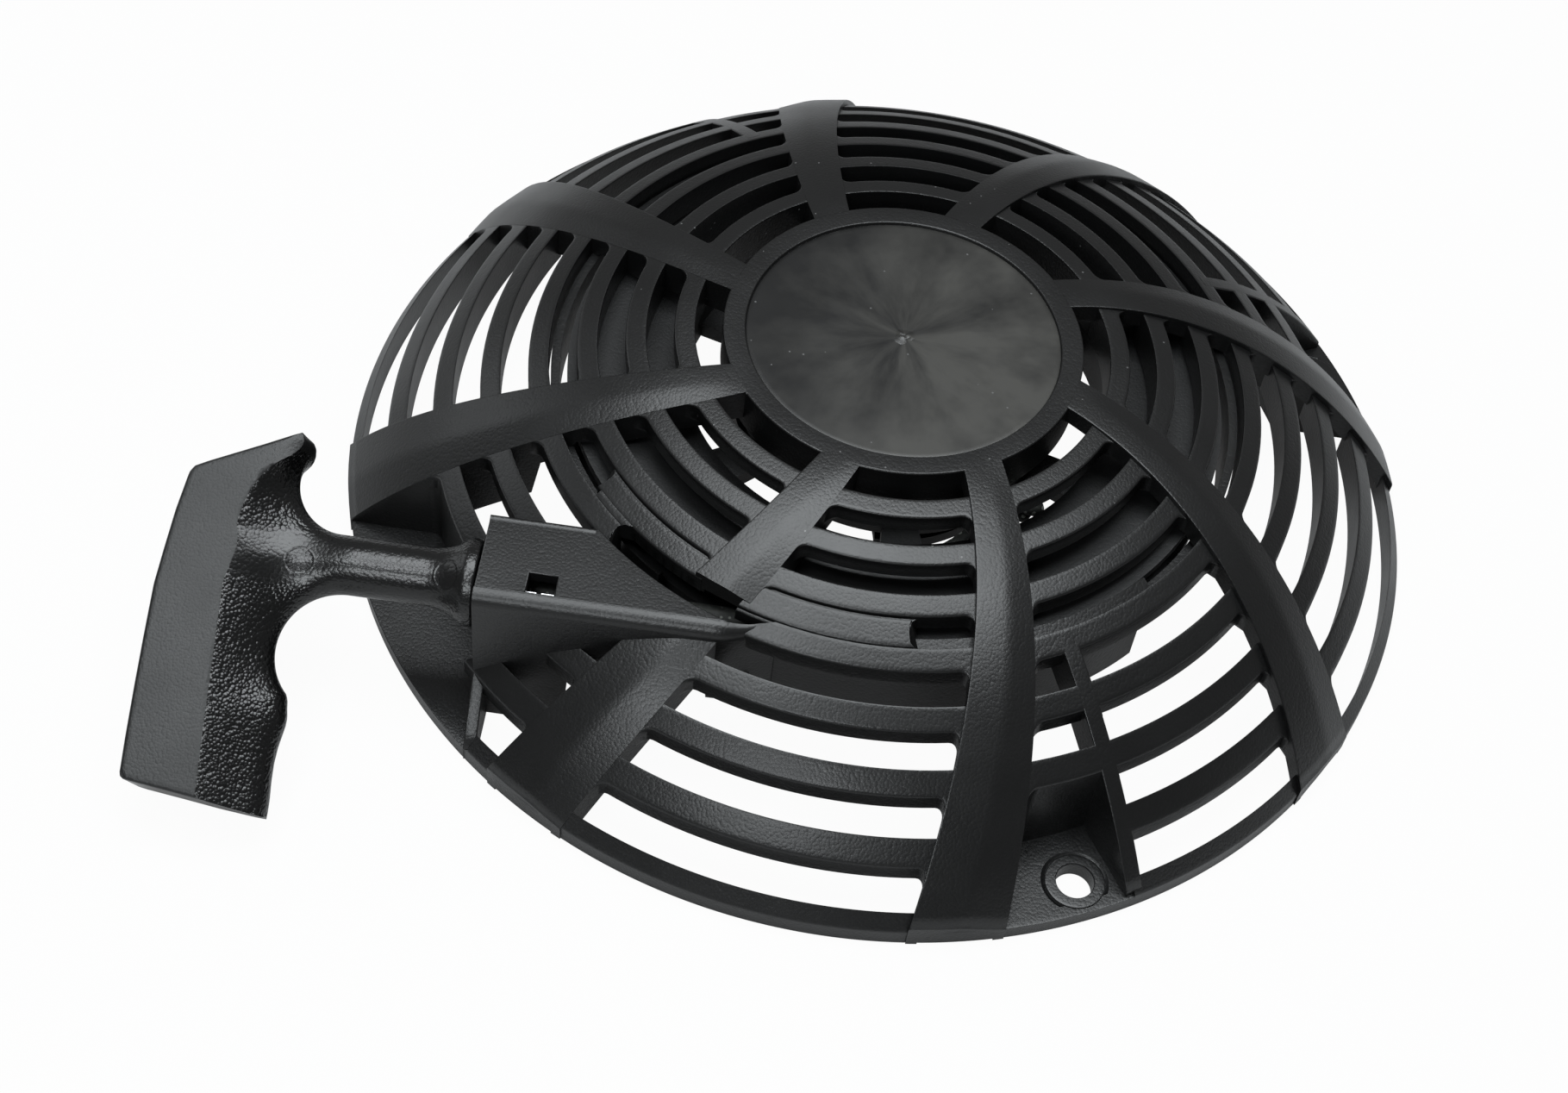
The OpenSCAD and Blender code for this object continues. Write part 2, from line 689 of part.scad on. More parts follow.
// Rope wound flat in the groove: a straight start, the turns, and a tail through the core to its knot
loop_rings = 24;
tail_rings = 5;
wind_from = -90;
function wind_r(a) = rope_r - rope_pitch * a / 360;
wind_end_r = wind_r(360 * rope_turns);
tail_stop = on_circle(tail_end_r, wind_from + tail_sweep);
tail_way = on_circle(1, wind_from + tail_sweep + 90);
wind_path = concat(
    [[0, -rope_r, rope_z], [rope_d, -rope_r, rope_z]],
    [for (i = [1 : loop_rings * rope_turns])
        let (a = 360 * i / loop_rings) concat(on_circle(wind_r(a), wind_from + a), rope_z)],
    [for (i = [1 : tail_rings])
        let (t = i / tail_rings)
        concat(on_circle(wind_end_r + (tail_end_r - wind_end_r) * t, wind_from + tail_sweep * t), rope_z)],
    [concat(tail_stop + rope_d * tail_way, rope_z)]);
echo(rope_middle_height = rope_z);
echo(rope_winding_least_gap = least_gap(wind_path, rope_d, loop_rings / 2));

module rope_winding() {
    color([0.16, 0.17, 0.15]) tube(wind_path, rope_d);
}

// A tight knot: two crossed loops of rope round a short core
module knot() {
    rotate_extrude() translate([knot_loop, 0]) circle(knot_r);
    rotate([0, 90, 0]) rotate_extrude() translate([knot_loop, 0]) circle(knot_r);
}

module pulley_knot() {
    at = tail_stop + knot_reach * tail_way;
    color([0.16, 0.17, 0.15]) translate([at.x, at.y, rope_z]) rotate(wind_from + tail_sweep) knot();
}

// Pawl, drawn at its post with its tip along X, then turned to rest
module pawl(turn) {
    color([0.72, 0.62, 0.36]) rotate(turn) translate([pawl_post_r, 0, pawl_bottom]) rotate(pawl_rest) {
        difference() {
            union() {
                cylinder(r = pawl_ring_r, h = pawl_t);
                linear_extrude(pawl_t) polygon([[0, -pawl_ring_r], [0, pawl_ring_r - pawl_side_in],
                    [pawl_len, pawl_tip_w - pawl_tip_drop], [pawl_len, -pawl_tip_drop],
                    [follower_arm, -follower_d]]);
            }
            translate([0, 0, -1]) cylinder(d = pawl_pin_d + 2 * run_fit, h = pawl_t + 2);
        }
        translate([follower_arm, 0, plate_bottom - pawl_bottom - follower_out])
            cylinder(d = follower_d, h = pawl_bottom - plate_bottom + follower_out + follower_root);
    }
}

module pawl_a() {
    pawl(0);
}

module pawl_b() {
    pawl(180);
}

// Friction plate: its cam slots follow the pawls' pins as the plate lags
cam_steps = 12;
notch_angle = 62;
function follower_at(t) = [pawl_post_r, 0] + on_circle(follower_arm, pawl_rest + pawl_swing * t);

module friction_plate() {
    color([0.2, 0.2, 0.21]) difference() {
        union() {
            translate([0, 0, plate_bottom]) cylinder(r = plate_r, h = plate_t);
            translate([0, 0, plate_bottom])
                cylinder(r = shoulder_d / 2 + boss_wall, h = washer_bottom - play - plate_bottom);
        }
        translate([0, 0, plate_bottom - 1]) cylinder(d = shoulder_d + 2 * run_fit, h = tall);
        for (side = [0, 180]) rotate(side) {
            for (i = [0 : cam_steps]) rotate(-plate_lag * i / cam_steps)
                translate(concat(follower_at(i / cam_steps), plate_bottom - 1))
                    cylinder(d = follower_d + 2 * play, h = plate_t + 2);
            rotate(notch_angle) translate([plate_r + notch_out, 0, plate_bottom - 1])
                cylinder(r = notch_r, h = plate_t + 2);
        }
    }
}

// Rope from the pulley through the snout and the stem to its knot
module rope_run() {
    color([0.16, 0.17, 0.15]) translate([0, -rope_r, rope_z]) rotate([0, -90, 0])
        cylinder(d = rope_d, h = snout_end + rope_end);
}

module grip_knot() {
    color([0.16, 0.17, 0.15]) translate([-snout_end - rope_end - knot_half + knot_bite, -rope_r, rope_z])
        knot();
}

// Puts a shape drawn with the rope along X and the grip's arms along Y in place
module at_grip() {
    translate([-snout_end, -rope_r, rope_z]) rotate([grip_tilt, 0, 0]) mirror([1, 0, 0]) children();
}

// Outline of the grip: a short arm over the stem, a long arm under it, and finger gaps
module grip2d() {
    difference() {
        polygon([[grip_back - grip_head_in, grip_up - grip_head_fall], [grip_start + grip_tip_w, grip_up],
                 [grip_start, grip_up], [grip_start, -grip_down],
                 [grip_back - grip_foot_in, -grip_down + grip_foot_rise], [grip_back, -grip_knee]]);
        translate([grip_start - finger_in, stem_r + finger_r - finger_bite]) circle(finger_r);
        translate([grip_start - lower_finger_in, -stem_r - lower_finger_r + finger_bite])
            circle(lower_finger_r);
        translate([grip_start - end_finger_in, -stem_r - end_finger_down]) circle(end_finger_r);
    }
}

// Section of the grip's arms: flat sides and a round finger side
module grip_section2d() {
    translate([grip_start + finger_side, 0]) circle(finger_side);
    translate([grip_start + finger_side, -finger_side]) square([grip_depth - finger_side, grip_t]);
}

module stem2d() {
    flare = stem_flange_r - stem_r;
    difference() {
        translate([0, grip_gap]) square([stem_flange_r, stem_flange_t + flare - grip_gap]);
        translate([stem_flange_r, stem_flange_t + flare - eps]) circle(flare + eps);
    }
    translate([0, grip_gap]) square([stem_r, grip_start + stem_in - grip_gap]);
}

module grip() {
    color([0.1, 0.1, 0.105]) at_grip() difference() {
        union() {
            intersection() {
                linear_extrude(2 * grip_t, center = true) grip2d();
                rotate([90, 0, 0]) linear_extrude(4 * grip_down, center = true) grip_section2d();
            }
            rotate([0, 90, 0]) rotate_extrude() stem2d();
        }
        rotate([0, 90, 0]) cylinder(d = rope_d + 2 * play, h = grip_back + 5);
        translate([knot_seat, 0, 0]) rotate([0, 90, 0]) cylinder(r = knot_pocket_r, h = grip_depth);
    }
}

// Metal insert that the knot pulls against
module grip_insert() {
    color([0.68, 0.68, 0.7]) at_grip() translate([knot_seat, 0, 0]) rotate([0, 90, 0]) difference() {
        cylinder(r = knot_pocket_r - run_fit, h = insert_t);
        translate([0, 0, -1]) cylinder(d = rope_d + 2 * play, h = insert_t + 2);
    }
}

housing();
rope_guide();
post_insert();
thrust_washer();
plate_screw();
friction_spring();
rewind_spring();
pulley();
spring_keeper();
rope_winding();
pulley_knot();
pawl_a();
pawl_b();
friction_plate();
rope_run();
grip_knot();
grip();
grip_insert();
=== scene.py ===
import math

import bmesh
import bpy
import numpy as np
from mathutils import Matrix, Vector
from mathutils.geometry import delaunay_2d_cdt

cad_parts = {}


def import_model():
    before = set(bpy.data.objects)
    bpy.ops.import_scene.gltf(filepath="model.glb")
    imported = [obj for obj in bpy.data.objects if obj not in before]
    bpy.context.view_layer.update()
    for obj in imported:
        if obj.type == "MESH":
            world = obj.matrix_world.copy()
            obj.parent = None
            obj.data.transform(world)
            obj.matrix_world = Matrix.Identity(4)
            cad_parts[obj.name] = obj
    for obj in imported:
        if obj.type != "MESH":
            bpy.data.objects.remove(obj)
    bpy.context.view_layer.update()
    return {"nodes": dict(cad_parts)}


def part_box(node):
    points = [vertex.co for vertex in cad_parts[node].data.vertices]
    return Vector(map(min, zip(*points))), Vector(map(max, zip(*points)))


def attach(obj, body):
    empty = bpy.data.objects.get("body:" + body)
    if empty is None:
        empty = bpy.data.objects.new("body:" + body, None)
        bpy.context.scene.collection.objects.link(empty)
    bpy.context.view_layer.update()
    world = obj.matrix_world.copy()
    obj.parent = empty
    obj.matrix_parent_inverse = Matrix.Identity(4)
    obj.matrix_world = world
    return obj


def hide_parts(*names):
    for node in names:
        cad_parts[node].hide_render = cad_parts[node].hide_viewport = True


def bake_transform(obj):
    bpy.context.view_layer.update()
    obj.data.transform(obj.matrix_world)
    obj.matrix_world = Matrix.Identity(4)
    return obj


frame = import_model()
nodes = frame["nodes"]

# Pieces are drawn in millimetres and degrees, and scaled to metres when they are made
MM = 0.001

# Sizes of the solids
RIM_R, RIM_H, RIM_W = 115.0, 4.0, 2.5
RIM_IN = RIM_R - RIM_W
DOME_H, DOME_FLAT = 47.4, 30.0
DOME_FALL = DOME_H - RIM_H
ARC_R = ((RIM_R - DOME_FLAT) ** 2 + DOME_FALL ** 2) / (2 * DOME_FALL)
ARC_Z = DOME_H - ARC_R
WALL = 2.8
HUB_R, DISC_R, DISC_SINK = 37.4, 32.8, 0.6
DISC_TOP = DOME_H - DISC_SINK
POST_R, POST_BORE, POST_LOW, POST_TOP = 8.0, 4.55, 17.1, 44.4
ROWS, SLOT_W = 8, 5.7
PITCH = (RIM_IN - SLOT_W - HUB_R) / (ROWS - 1)
ROPE_D, ROPE_Z, ROPE_R = 4.5, 29.5, 65.0
SNOUT_END, SNOUT_TOP = 76.0, 38.0
FRONT_Y, BACK_Y = -74.9, -54.2
FLOOR_H = 3.4

# Spokes, seen from above: the first one's angle at the hub, its sweep, and the arcs of its edges
SPOKE_COUNT, SPOKE_STEP = 8, 45.0
SPOKE_ANGLE, SPOKE_SWEEP = -60.7, 17.0
SPOKE_W_HUB, SPOKE_W_RIM = 8.3, 19.2
LEAD_ARC, TRAIL_ARC = 158.0, 190.0
SPOKE_OUT = 0.3
POCKET_SPOKES, SNOUT_SPOKE, ROPE_SPOKE = (0, 2, 4), 6, 7

# Mounting pockets
BOLT_R, BOLT_ANGLE, BOLT_HOLE = 108.0, SPOKE_ANGLE - SPOKE_SWEEP + 13.3, 3.75
BAR_ANGLE, BAR_HALF = BOLT_ANGLE + 5.0, 1.75
POCKET_R, POCKET_WALL = HUB_R + 6 * PITCH, 2.5

# Finer sizes of the cover
EDGE, EDGE_MID, EDGE_FLAT = 0.38, 0.11, 0.9
CORNER, CORNER_STEPS = 1.9, (0.0, 0.08, 0.25, 0.5, 0.85, 1.3, 1.9)
LOW = 0.05
SLAT_OUT, SLAT_IN, SLAT_STEP, BURY = 3.7, 9.3, 2.5, 1.5
SKIRT, SPOKE_SKIRT, POCKET_SKIRT = 2.2, 7.4, 16.0
PULLEY_R, PULLEY_CLEAR, CLEAR_SLOPE = 71.0, 35.6, 3
SLIVER = 1e-4


def slot_in(row):
    """Inner radius of a row of slots, counted from the hub."""
    return HUB_R + row * PITCH


def dome_z(r):
    return ARC_Z + np.sqrt(ARC_R ** 2 - np.maximum(r - DOME_FLAT, 0) ** 2)


def under(r, depth):
    """Lower edge of a wall of that depth under the dome, clear of the pulley and the floor."""
    over_pulley = PULLEY_CLEAR - CLEAR_SLOPE * np.maximum(r - PULLEY_R, 0)
    return np.maximum(dome_z(r) - depth, np.maximum(over_pulley, LOW))


def corner(dist):
    """How far a slot's round corner reaches in, at a distance from the slot's end."""
    d = np.clip(dist, 0.0, CORNER)
    return CORNER - np.sqrt(CORNER ** 2 - (CORNER - d) ** 2)


# Plane and path geometry
def polar(r, deg, z):
    a = np.radians(deg)
    return np.stack(np.broadcast_arrays(r * np.cos(a), r * np.sin(a), z), -1)


def flat_polar(r, deg):
    return polar(r, deg, 0)[..., :2]


def unit(v):
    return v / (np.linalg.norm(v, axis=-1, keepdims=True) + 1e-12)


def area2(loop):
    """Twice a loop's area, positive where it runs anticlockwise."""
    x, y = loop[:, 0], loop[:, 1]
    return float(np.sum(x * np.roll(y, -1) - y * np.roll(x, -1)))


def inside(p, loop):
    x, y = loop[:, 0], loop[:, 1]
    x2, y2 = np.roll(x, -1), np.roll(y, -1)
    hit = (y > p[1]) != (y2 > p[1])
    with np.errstate(divide="ignore", invalid="ignore"):
        cross = (x2 - x) * (p[1] - y) / (y2 - y) + x
    return bool(np.sum(hit & (p[0] < cross)) % 2)


def offset_loop(loop, d, outer=True):
    """Moves a loop into the solid by d."""
    a, b = unit(loop - np.roll(loop, 1, 0)), unit(np.roll(loop, -1, 0) - loop)
    na, nb = np.c_[-a[:, 1], a[:, 0]], np.c_[-b[:, 1], b[:, 0]]
    n = unit(na + nb)
    grow = 1 / np.clip(np.sum(n * na, 1), 0.5, 1)
    sign = 1 if (area2(loop) > 0) == outer else -1
    return loop + sign * d * grow[:, None] * n


def ring_edges(count, start=0):
    return [(start + i, start + (i + 1) % count) for i in range(count)]


def triangulate(points, edges):
    """Triangles over flat points that keep the edges, without those of no area."""
    v, _, f, *_ = delaunay_2d_cdt([Vector(p) for p in points], edges, [], 0, 1e-6)
    v = np.array([(p.x, p.y) for p in v])
    return v, [tuple(t) for t in f if abs(area2(v[list(t)])) > SLIVER]


def lengths(path):
    """Distance along a path at each of its points."""
    return np.r_[0, np.cumsum(np.linalg.norm(np.diff(path, axis=0), axis=1))]


def at_lengths(path, t):
    """The points at distances t along a path."""
    return np.stack([np.interp(t, lengths(path), axis) for axis in path.T], -1)


def resample(path, step):
    path = np.asarray(path, float)
    total = lengths(path)[-1]
    return at_lengths(path, np.linspace(0, total, int(round(total / step)) + 1))


def circle_arc(c, r, a0, a1, n):
    return [tuple(p) for p in np.array(c) + flat_polar(r, np.linspace(a0, a1, n))]


def bezier(a, b, c, n):
    t = np.linspace(0, 1, n)[:, None]
    return (1 - t) ** 2 * np.array(a) + 2 * t * (1 - t) * np.array(b) + t ** 2 * np.array(c)


def tube_rings(path, tangent, level, radius, count):
    """Rings of points round a path, each square to its tangent and turned by the level direction."""
    tangent = unit(tangent)
    side = unit(np.cross(tangent, level))
    up = np.cross(side, tangent)
    a = np.arange(count) * 2 * math.pi / count
    spread = np.cos(a)[:, None] * side[:, None] + np.sin(a)[:, None] * up[:, None]
    return path[:, None] + np.asarray(radius)[..., None] * spread


# Meshes
class Shape:
    """Points and faces in millimetres, gathered from several closed shells."""

    def __init__(self):
        self.points, self.faces, self.count = [], [], 0

    def add(self, points, faces=()):
        """Adds points and the faces over them, and returns the first point's number."""
        first = self.count
        points = np.asarray(points, float).reshape(-1, 3)
        self.points.append(points)
        self.faces += [tuple(i + first for i in f) for f in faces]
        self.count += len(points)
        return first

    def loft(self, rings, close=True, loop=False):
        """A skin over rings of points; loop joins the last ring to the first."""
        rings = np.asarray(rings, float)
        n, m = rings.shape[:2]
        faces = []
        for i in range(n if loop else n - 1):
            a, b = i * m, ((i + 1) % n) * m
            for j in range(m if close else m - 1):
                k = (j + 1) % m
                faces.append((a + j, a + k, b + k, b + j))
        if close and not loop:
            faces.append(tuple(range(m - 1, -1, -1)))
            faces.append(tuple((n - 1) * m + j for j in range(m)))
        return self.add(rings, faces)

    def revolve(self, profile, steps=64, at=(0, 0), closed=True):
        """A profile of (radius, height) turned about Z; one that isn't closed is capped on the axis."""
        prof = np.asarray(profile, float)
        turns = np.arange(steps) * 360 / steps
        rings = np.stack([polar(prof[:, 0], a, prof[:, 1]) for a in turns]) + np.array([*at, 0])
        first, m = self.loft(rings, close=closed, loop=True), len(prof)
        if not closed:
            self.faces += [tuple(first + i * m + j for i in range(steps)) for j in (0, m - 1)]

    def box(self, lo, hi):
        x, y, z = zip(lo, hi)
        p = [(x[i], y[j], z[k]) for k in (0, 1) for j in (0, 1) for i in (0, 1)]
        self.add(p, [(0, 2, 3, 1), (4, 5, 7, 6), (0, 1, 5, 4), (2, 6, 7, 3), (0, 4, 6, 2), (1, 3, 7, 5)])

    def plate(self, outline, holes, top, bottom, edge=0.0):
        """A flat plate between two heights, with holes, its top edges rounded off by edge."""
        loops = [np.asarray(loop, float) for loop in (outline, *holes)]
        starts = np.cumsum([0] + [len(loop) for loop in loops])
        edges = [e for loop, s in zip(loops, starts) for e in ring_edges(len(loop), s)]
        flat, tris = triangulate(np.vstack(loops), edges)
        if len(flat) != starts[-1]:
            raise ValueError("a plate's outline crosses itself")
        held = [[inside(flat[list(t)].mean(0), loop) for loop in loops] for t in tris]
        tris = [t for t, (within, *in_hole) in zip(tris, held) if within and not any(in_hole)]
        inset = flat.copy()
        for loop, s in zip(loops, starts):
            part = slice(s, s + len(loop))
            inset[part] = offset_loop(flat[part], edge, outer=s == 0)
        def level(points, z, faces=()):
            return self.add(np.c_[points, np.full(len(points), z)], faces)

        levels = [level(inset, top, tris)]
        if edge:
            levels += [level(inset * 0.3 + flat * 0.7, top - edge * 0.3), level(flat, top - edge)]
        levels.append(level(flat, bottom, [t[::-1] for t in tris]))
        for loop, s in zip(loops, starts):
            turned = (area2(loop) > 0) != (s == 0)
            for up, down in zip(levels, levels[1:]):
                for i, j in ring_edges(len(loop), s):
                    side = (up + i, down + i, down + j, up + j)
                    self.faces.append(side[::-1] if turned else side)

    def make(self, name, material, smooth=True):
        mesh = bpy.data.meshes.new(name)
        mesh.from_pydata((np.concatenate(self.points) * MM).tolist(), [], self.faces)
        mesh.validate()
        face_outwards(mesh)
        mesh.materials.append(material)
        obj = in_scene(name, mesh)
        if smooth:
            mesh.shade_smooth()
            mesh.set_sharp_from_angle(angle=math.radians(50))
            normals = obj.modifiers.new("normals", "WEIGHTED_NORMAL")
            normals.keep_sharp = True
            normals.weight = 80
        return obj


def in_scene(name, data):
    obj = bpy.data.objects.new(name, data)
    bpy.context.scene.collection.objects.link(obj)
    return obj


def face_outwards(mesh):
    """Turns every shell's faces to its outside."""
    shells = bmesh.new()
    shells.from_mesh(mesh)
    bmesh.ops.recalc_face_normals(shells, faces=shells.faces)
    shells.to_mesh(mesh)
    shells.free()


def stand_for(piece, body, node):
    """Puts a piece on a body in the place of a node."""
    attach(piece, body)
    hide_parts(node)


# Edges that slats run between: each is a function from radius to angle
def arc_middle(p, q, r):
    d = unit(q - p)
    sag = math.sqrt(r * r - (np.linalg.norm(q - p) / 2) ** 2)
    return (p + q) / 2 - sag * np.array([-d[1], d[0]])


def spoke_edge(side):
    """The leading (-1) or trailing (1) edge of the spokes, an arc from hub to rim."""
    hub_half = math.degrees(math.asin(SPOKE_W_HUB / 2 / HUB_R))
    rim_half = math.degrees(math.asin(SPOKE_W_RIM / 2 / RIM_R))
    arc = LEAD_ARC if side < 0 else TRAIL_ARC
    c = arc_middle(flat_polar(HUB_R, SPOKE_ANGLE + side * hub_half),
                   flat_polar(RIM_R, SPOKE_ANGLE - SPOKE_SWEEP + side * rim_half), arc)
    away, at = np.linalg.norm(c), math.degrees(math.atan2(c[1], c[0]))

    def angle(r, k):
        turn = np.arccos((r ** 2 + away ** 2 - arc ** 2) / (2 * r * away))
        return at + np.degrees(turn) + k * SPOKE_STEP

    return angle


lead_edge, trail_edge = spoke_edge(-1), spoke_edge(1)


def before(k):
    return lambda r: lead_edge(r, k)


def after(k):
    return lambda r: trail_edge(r, k)


def fixed(a):
    return lambda r: np.full(np.shape(r), float(a))


def plane_y(y):
    """Where circles meet a plane across Y, on the -X side."""
    return lambda r: 180 + np.degrees(np.arcsin(-y / r))


# The cover
housing = Shape()


def slat_section(r0, r1):
    """Radii and drops across a slat, from its inner wall over two rounded edges to its outer wall."""
    r = np.array([r0, r0, r0 + EDGE_MID, r0 + EDGE, r0 + EDGE_FLAT, (r0 + r1) / 2,
                  r1 - EDGE_FLAT, r1 - EDGE, r1 - EDGE_MID, r1, r1])
    return r, np.array([0, EDGE, EDGE_MID, 0, 0, 0, 0, 0, EDGE_MID, EDGE, 0])


def slat(r0, r1, from_edge, to_edge, flare=(True, True), bottom=None, lift=0.0, bury=(BURY, BURY)):
    """A slat along the dome between two edges, widened to the slots' round corners where it flares."""
    mid = (r0 + r1) / 2
    run = math.radians(to_edge(mid) - from_edge(mid)) * mid
    near = [s for s in CORNER_STEPS if s < run / 2 - 0.2]
    inner = np.linspace(near[-1], run - near[-1], max(2, int(run / SLAT_STEP)) + 1)[1:-1]
    rings = []
    for s in [-bury[0], *near, *inner, *[run - s for s in near[::-1]], run + bury[1]]:
        grow = max(corner(d) if on else 0.0 for on, d in zip(flare, (s, run - s)))
        r, drop = slat_section(r0, r1 + grow)
        z = dome_z(r) + lift - drop
        z[0] = under(r[0], SLAT_IN) if bottom is None else bottom
        z[-1] = under(r[-1], SLAT_OUT) if bottom is None else bottom
        a = from_edge(r) + (to_edge(r) - from_edge(r)) * (s / run)
        rings.append(polar(r, a, z)[::-1])
    housing.loft(rings)


# A spoke's crest over the dome, its crease as a share of its width, and the roundings of its section
CREST_HUB, CREST_RISE, CREST_POWER = 0.26, 1.75, 0.75
CREASE_AT, CREASE_NEAR, CREASE_FAR, CREASE_DIP = 0.56, 0.35, 1.2, 0.04
STEP_ROUND = np.array([0.42, 0.1])
TAIL_RISE, TAIL_AT_HUB, TAIL_FADE = 0.05, 0.2, 6
SPOKE_NARROWEST = 0.6


def spoke_ring(r, k, limit, pocket):
    """A spoke's section: a step at its leading edge, a crease, and a facet that falls to the slats."""
    first = lead_edge(r, k)
    full = math.radians(trail_edge(r, k) - first) * r
    gone = math.radians(max(0.0, limit(r) - first)) * r if limit else 0.0
    if full - gone < SPOKE_NARROWEST:
        return None
    crest = CREST_HUB + CREST_RISE * np.clip((r - HUB_R) / (RIM_R - HUB_R), 0, 1) ** CREST_POWER
    tail = TAIL_RISE + TAIL_AT_HUB * max(0.0, 1 - (r - HUB_R) / TAIL_FADE)
    crease = CREASE_AT * full
    at = np.array([0, 0, 0.12, 0.45, 0.3 * full, crease - CREASE_FAR, crease - CREASE_NEAR, crease + CREASE_NEAR,
                   crease + CREASE_FAR, 0.8 * full, full - 0.5, full, full])
    at = np.clip(at, gone + np.array([0, 0, 0.02, 0.04] + [0.06] * 9), None)
    rise = np.where(at <= crease, crest, tail + (crest - tail) * (full - at) / (full - crease))
    rise[6:8] -= CREASE_DIP * crest
    z = dome_z(r) + rise
    z[1:3] -= STEP_ROUND
    z[0], z[-1] = spoke_walls(r, pocket)
    skirt = min(SKIRT, (full - gone) / 2 - 0.15)
    ceiling = dome_z(r) - WALL
    at = np.r_[at, full - skirt, full - skirt, gone + skirt, gone + skirt]
    z = np.r_[z, z[-1], ceiling, ceiling, z[0]]
    return polar(r, first + np.degrees(at / r), z)[::-1]


def spoke_walls(r, pocket):
    """Lower edges of a spoke's leading and trailing walls."""
    if r > RIM_IN:
        return LOW, LOW
    lead = under(r, SLAT_OUT)
    if pocket and r > POCKET_R - POCKET_WALL:
        return lead, LOW
    return lead, under(r, POCKET_SKIRT if pocket and r > slot_in(4) else SPOKE_SKIRT)


def spoke(k, from_r, to_r, limit=None, pocket=False, count=46):
    rings = [spoke_ring(r, k, limit, pocket) for r in np.linspace(from_r, to_r, count)]
    housing.loft([ring for ring in rings if ring is not None])


def hub():
    """Ring with its sunk disc, and the post under it."""
    low, ceiling, axis = under(HUB_R, SLAT_IN), DISC_TOP - WALL, 0.001
    housing.revolve([(axis, DISC_TOP), (DISC_R - 1.2, DISC_TOP), (DISC_R - 0.35, DISC_TOP - 0.03),
                     (DISC_R - 0.05, DISC_TOP - 0.2), (DISC_R + 0.02, DISC_TOP + 0.1),
                     (DISC_R + 0.04, DOME_H - 0.22), (DISC_R + 0.3, DOME_H), (HUB_R - EDGE, DOME_H),
                     (HUB_R - 0.1, DOME_H - 0.12), (HUB_R, DOME_H - 0.45), (HUB_R, low),
                     (HUB_R - SKIRT, low), (HUB_R - SKIRT, ceiling), (axis, ceiling)], steps=240, closed=False)
    housing.revolve([(POST_BORE, POST_LOW), (POST_R, POST_LOW), (POST_R, POST_TOP), (POST_BORE, POST_TOP)])


def gate_mark():
    """The torn stub that the mould's gate left in the middle of the disc."""
    a = np.arange(14) * 360 / 14
    rings = []
    for h, rad in ((-0.1, 2.3), (0.02, 2.1), (0.1, 1.5), (0.28, 1.15), (0.4, 0.75), (0.22, 0.35)):
        wobble = 1 + 0.18 * np.sin(np.radians(a * 2 + h * 400)) + 0.1 * np.cos(np.radians(a * 5 + 40))
        rings.append(polar(rad * wobble, a, DISC_TOP + h + 0.08 * np.sin(np.radians(a * 3 + 70))))
    housing.loft(rings)


def rim():
    """The outer ring, lower where it passes a pocket."""
    high = np.array([(RIM_R, 0), (RIM_R, RIM_H - 0.4), (RIM_R - 0.12, RIM_H - 0.05), (RIM_R - 0.45, RIM_H + 0.4),
                     (RIM_IN + EDGE, dome_z(RIM_IN + EDGE)), (RIM_IN + 0.1, dome_z(RIM_IN) - 0.12),
                     (RIM_IN, dome_z(RIM_IN) - 0.5), (RIM_IN, 0)])
    low = np.minimum(high, [RIM_R, FLOOR_H - 0.02])
    low[2:4] = (RIM_R - 0.05, FLOOR_H - 0.1), (RIM_R - 0.3, FLOOR_H - 0.02)
    gaps = [(trail_edge(RIM_R, k), BAR_ANGLE + k * SPOKE_STEP) for k in POCKET_SPOKES]
    gaps.append((trail_edge(RIM_R, SNOUT_SPOKE), 360 - math.degrees(math.acos(-(SNOUT_END - 1) / RIM_R))))
    for (_, start), (stop, low_end) in zip(gaps[-1:] + gaps[:-1], gaps):
        start -= 360 if start > stop else 0
        for a0, a1, profile in ((start, stop, high), (stop, low_end, low)):
            turns = np.linspace(a0, a1, int(a1 - a0) + 2)
            housing.loft([polar(profile[:, 0], a, profile[:, 1]) for a in turns])


def spokes():
    inner, outer = HUB_R - EDGE, RIM_R + SPOKE_OUT
    for k in range(SPOKE_COUNT):
        if k == ROPE_SPOKE:
            spoke(k, inner, ROPE_SLOT_IN - 0.2, count=24)
            spoke(k, ROPE_SLOT_OUT + 2.3, outer, limit=plane_y(FRONT_Y + 1.2), count=30)
        else:
            spoke(k, inner, outer, pocket=k in POCKET_SPOKES + (SNOUT_SPOKE,))


# The rope's slot through the cover, its round end and its slanting tail, and the row that is closed beside it
ROPE_SLOT_IN, ROPE_SLOT_OUT, ROPE_SLOT_END = 71.8, 77.0, 227.8
TAIL_END, TAIL_SLOPE = 256.3, 1.66
FILL_FROM, FILL_TO, FILL_SINK, FILL_GROOVE, FILL_BED = 218.0, 276.0, 0.12, 0.5, 0.9
FILL_IN = slot_in(3)
FILL_OUT = FILL_IN + SLOT_W


def rope_slot_end(r):
    half = (ROPE_SLOT_OUT - ROPE_SLOT_IN) / 2
    off = np.clip(r - ROPE_SLOT_IN - half, -half, half)
    return ROPE_SLOT_END - np.degrees(np.sqrt(half ** 2 - off ** 2) / r)


def tail_edge(r):
    """The near side of the rope slot's tail, running across the fourth slat to its inner edge."""
    return np.maximum(TAIL_END - TAIL_SLOPE * (r - ROPE_SLOT_IN - 0.8), trail_edge(r, ROPE_SPOKE))


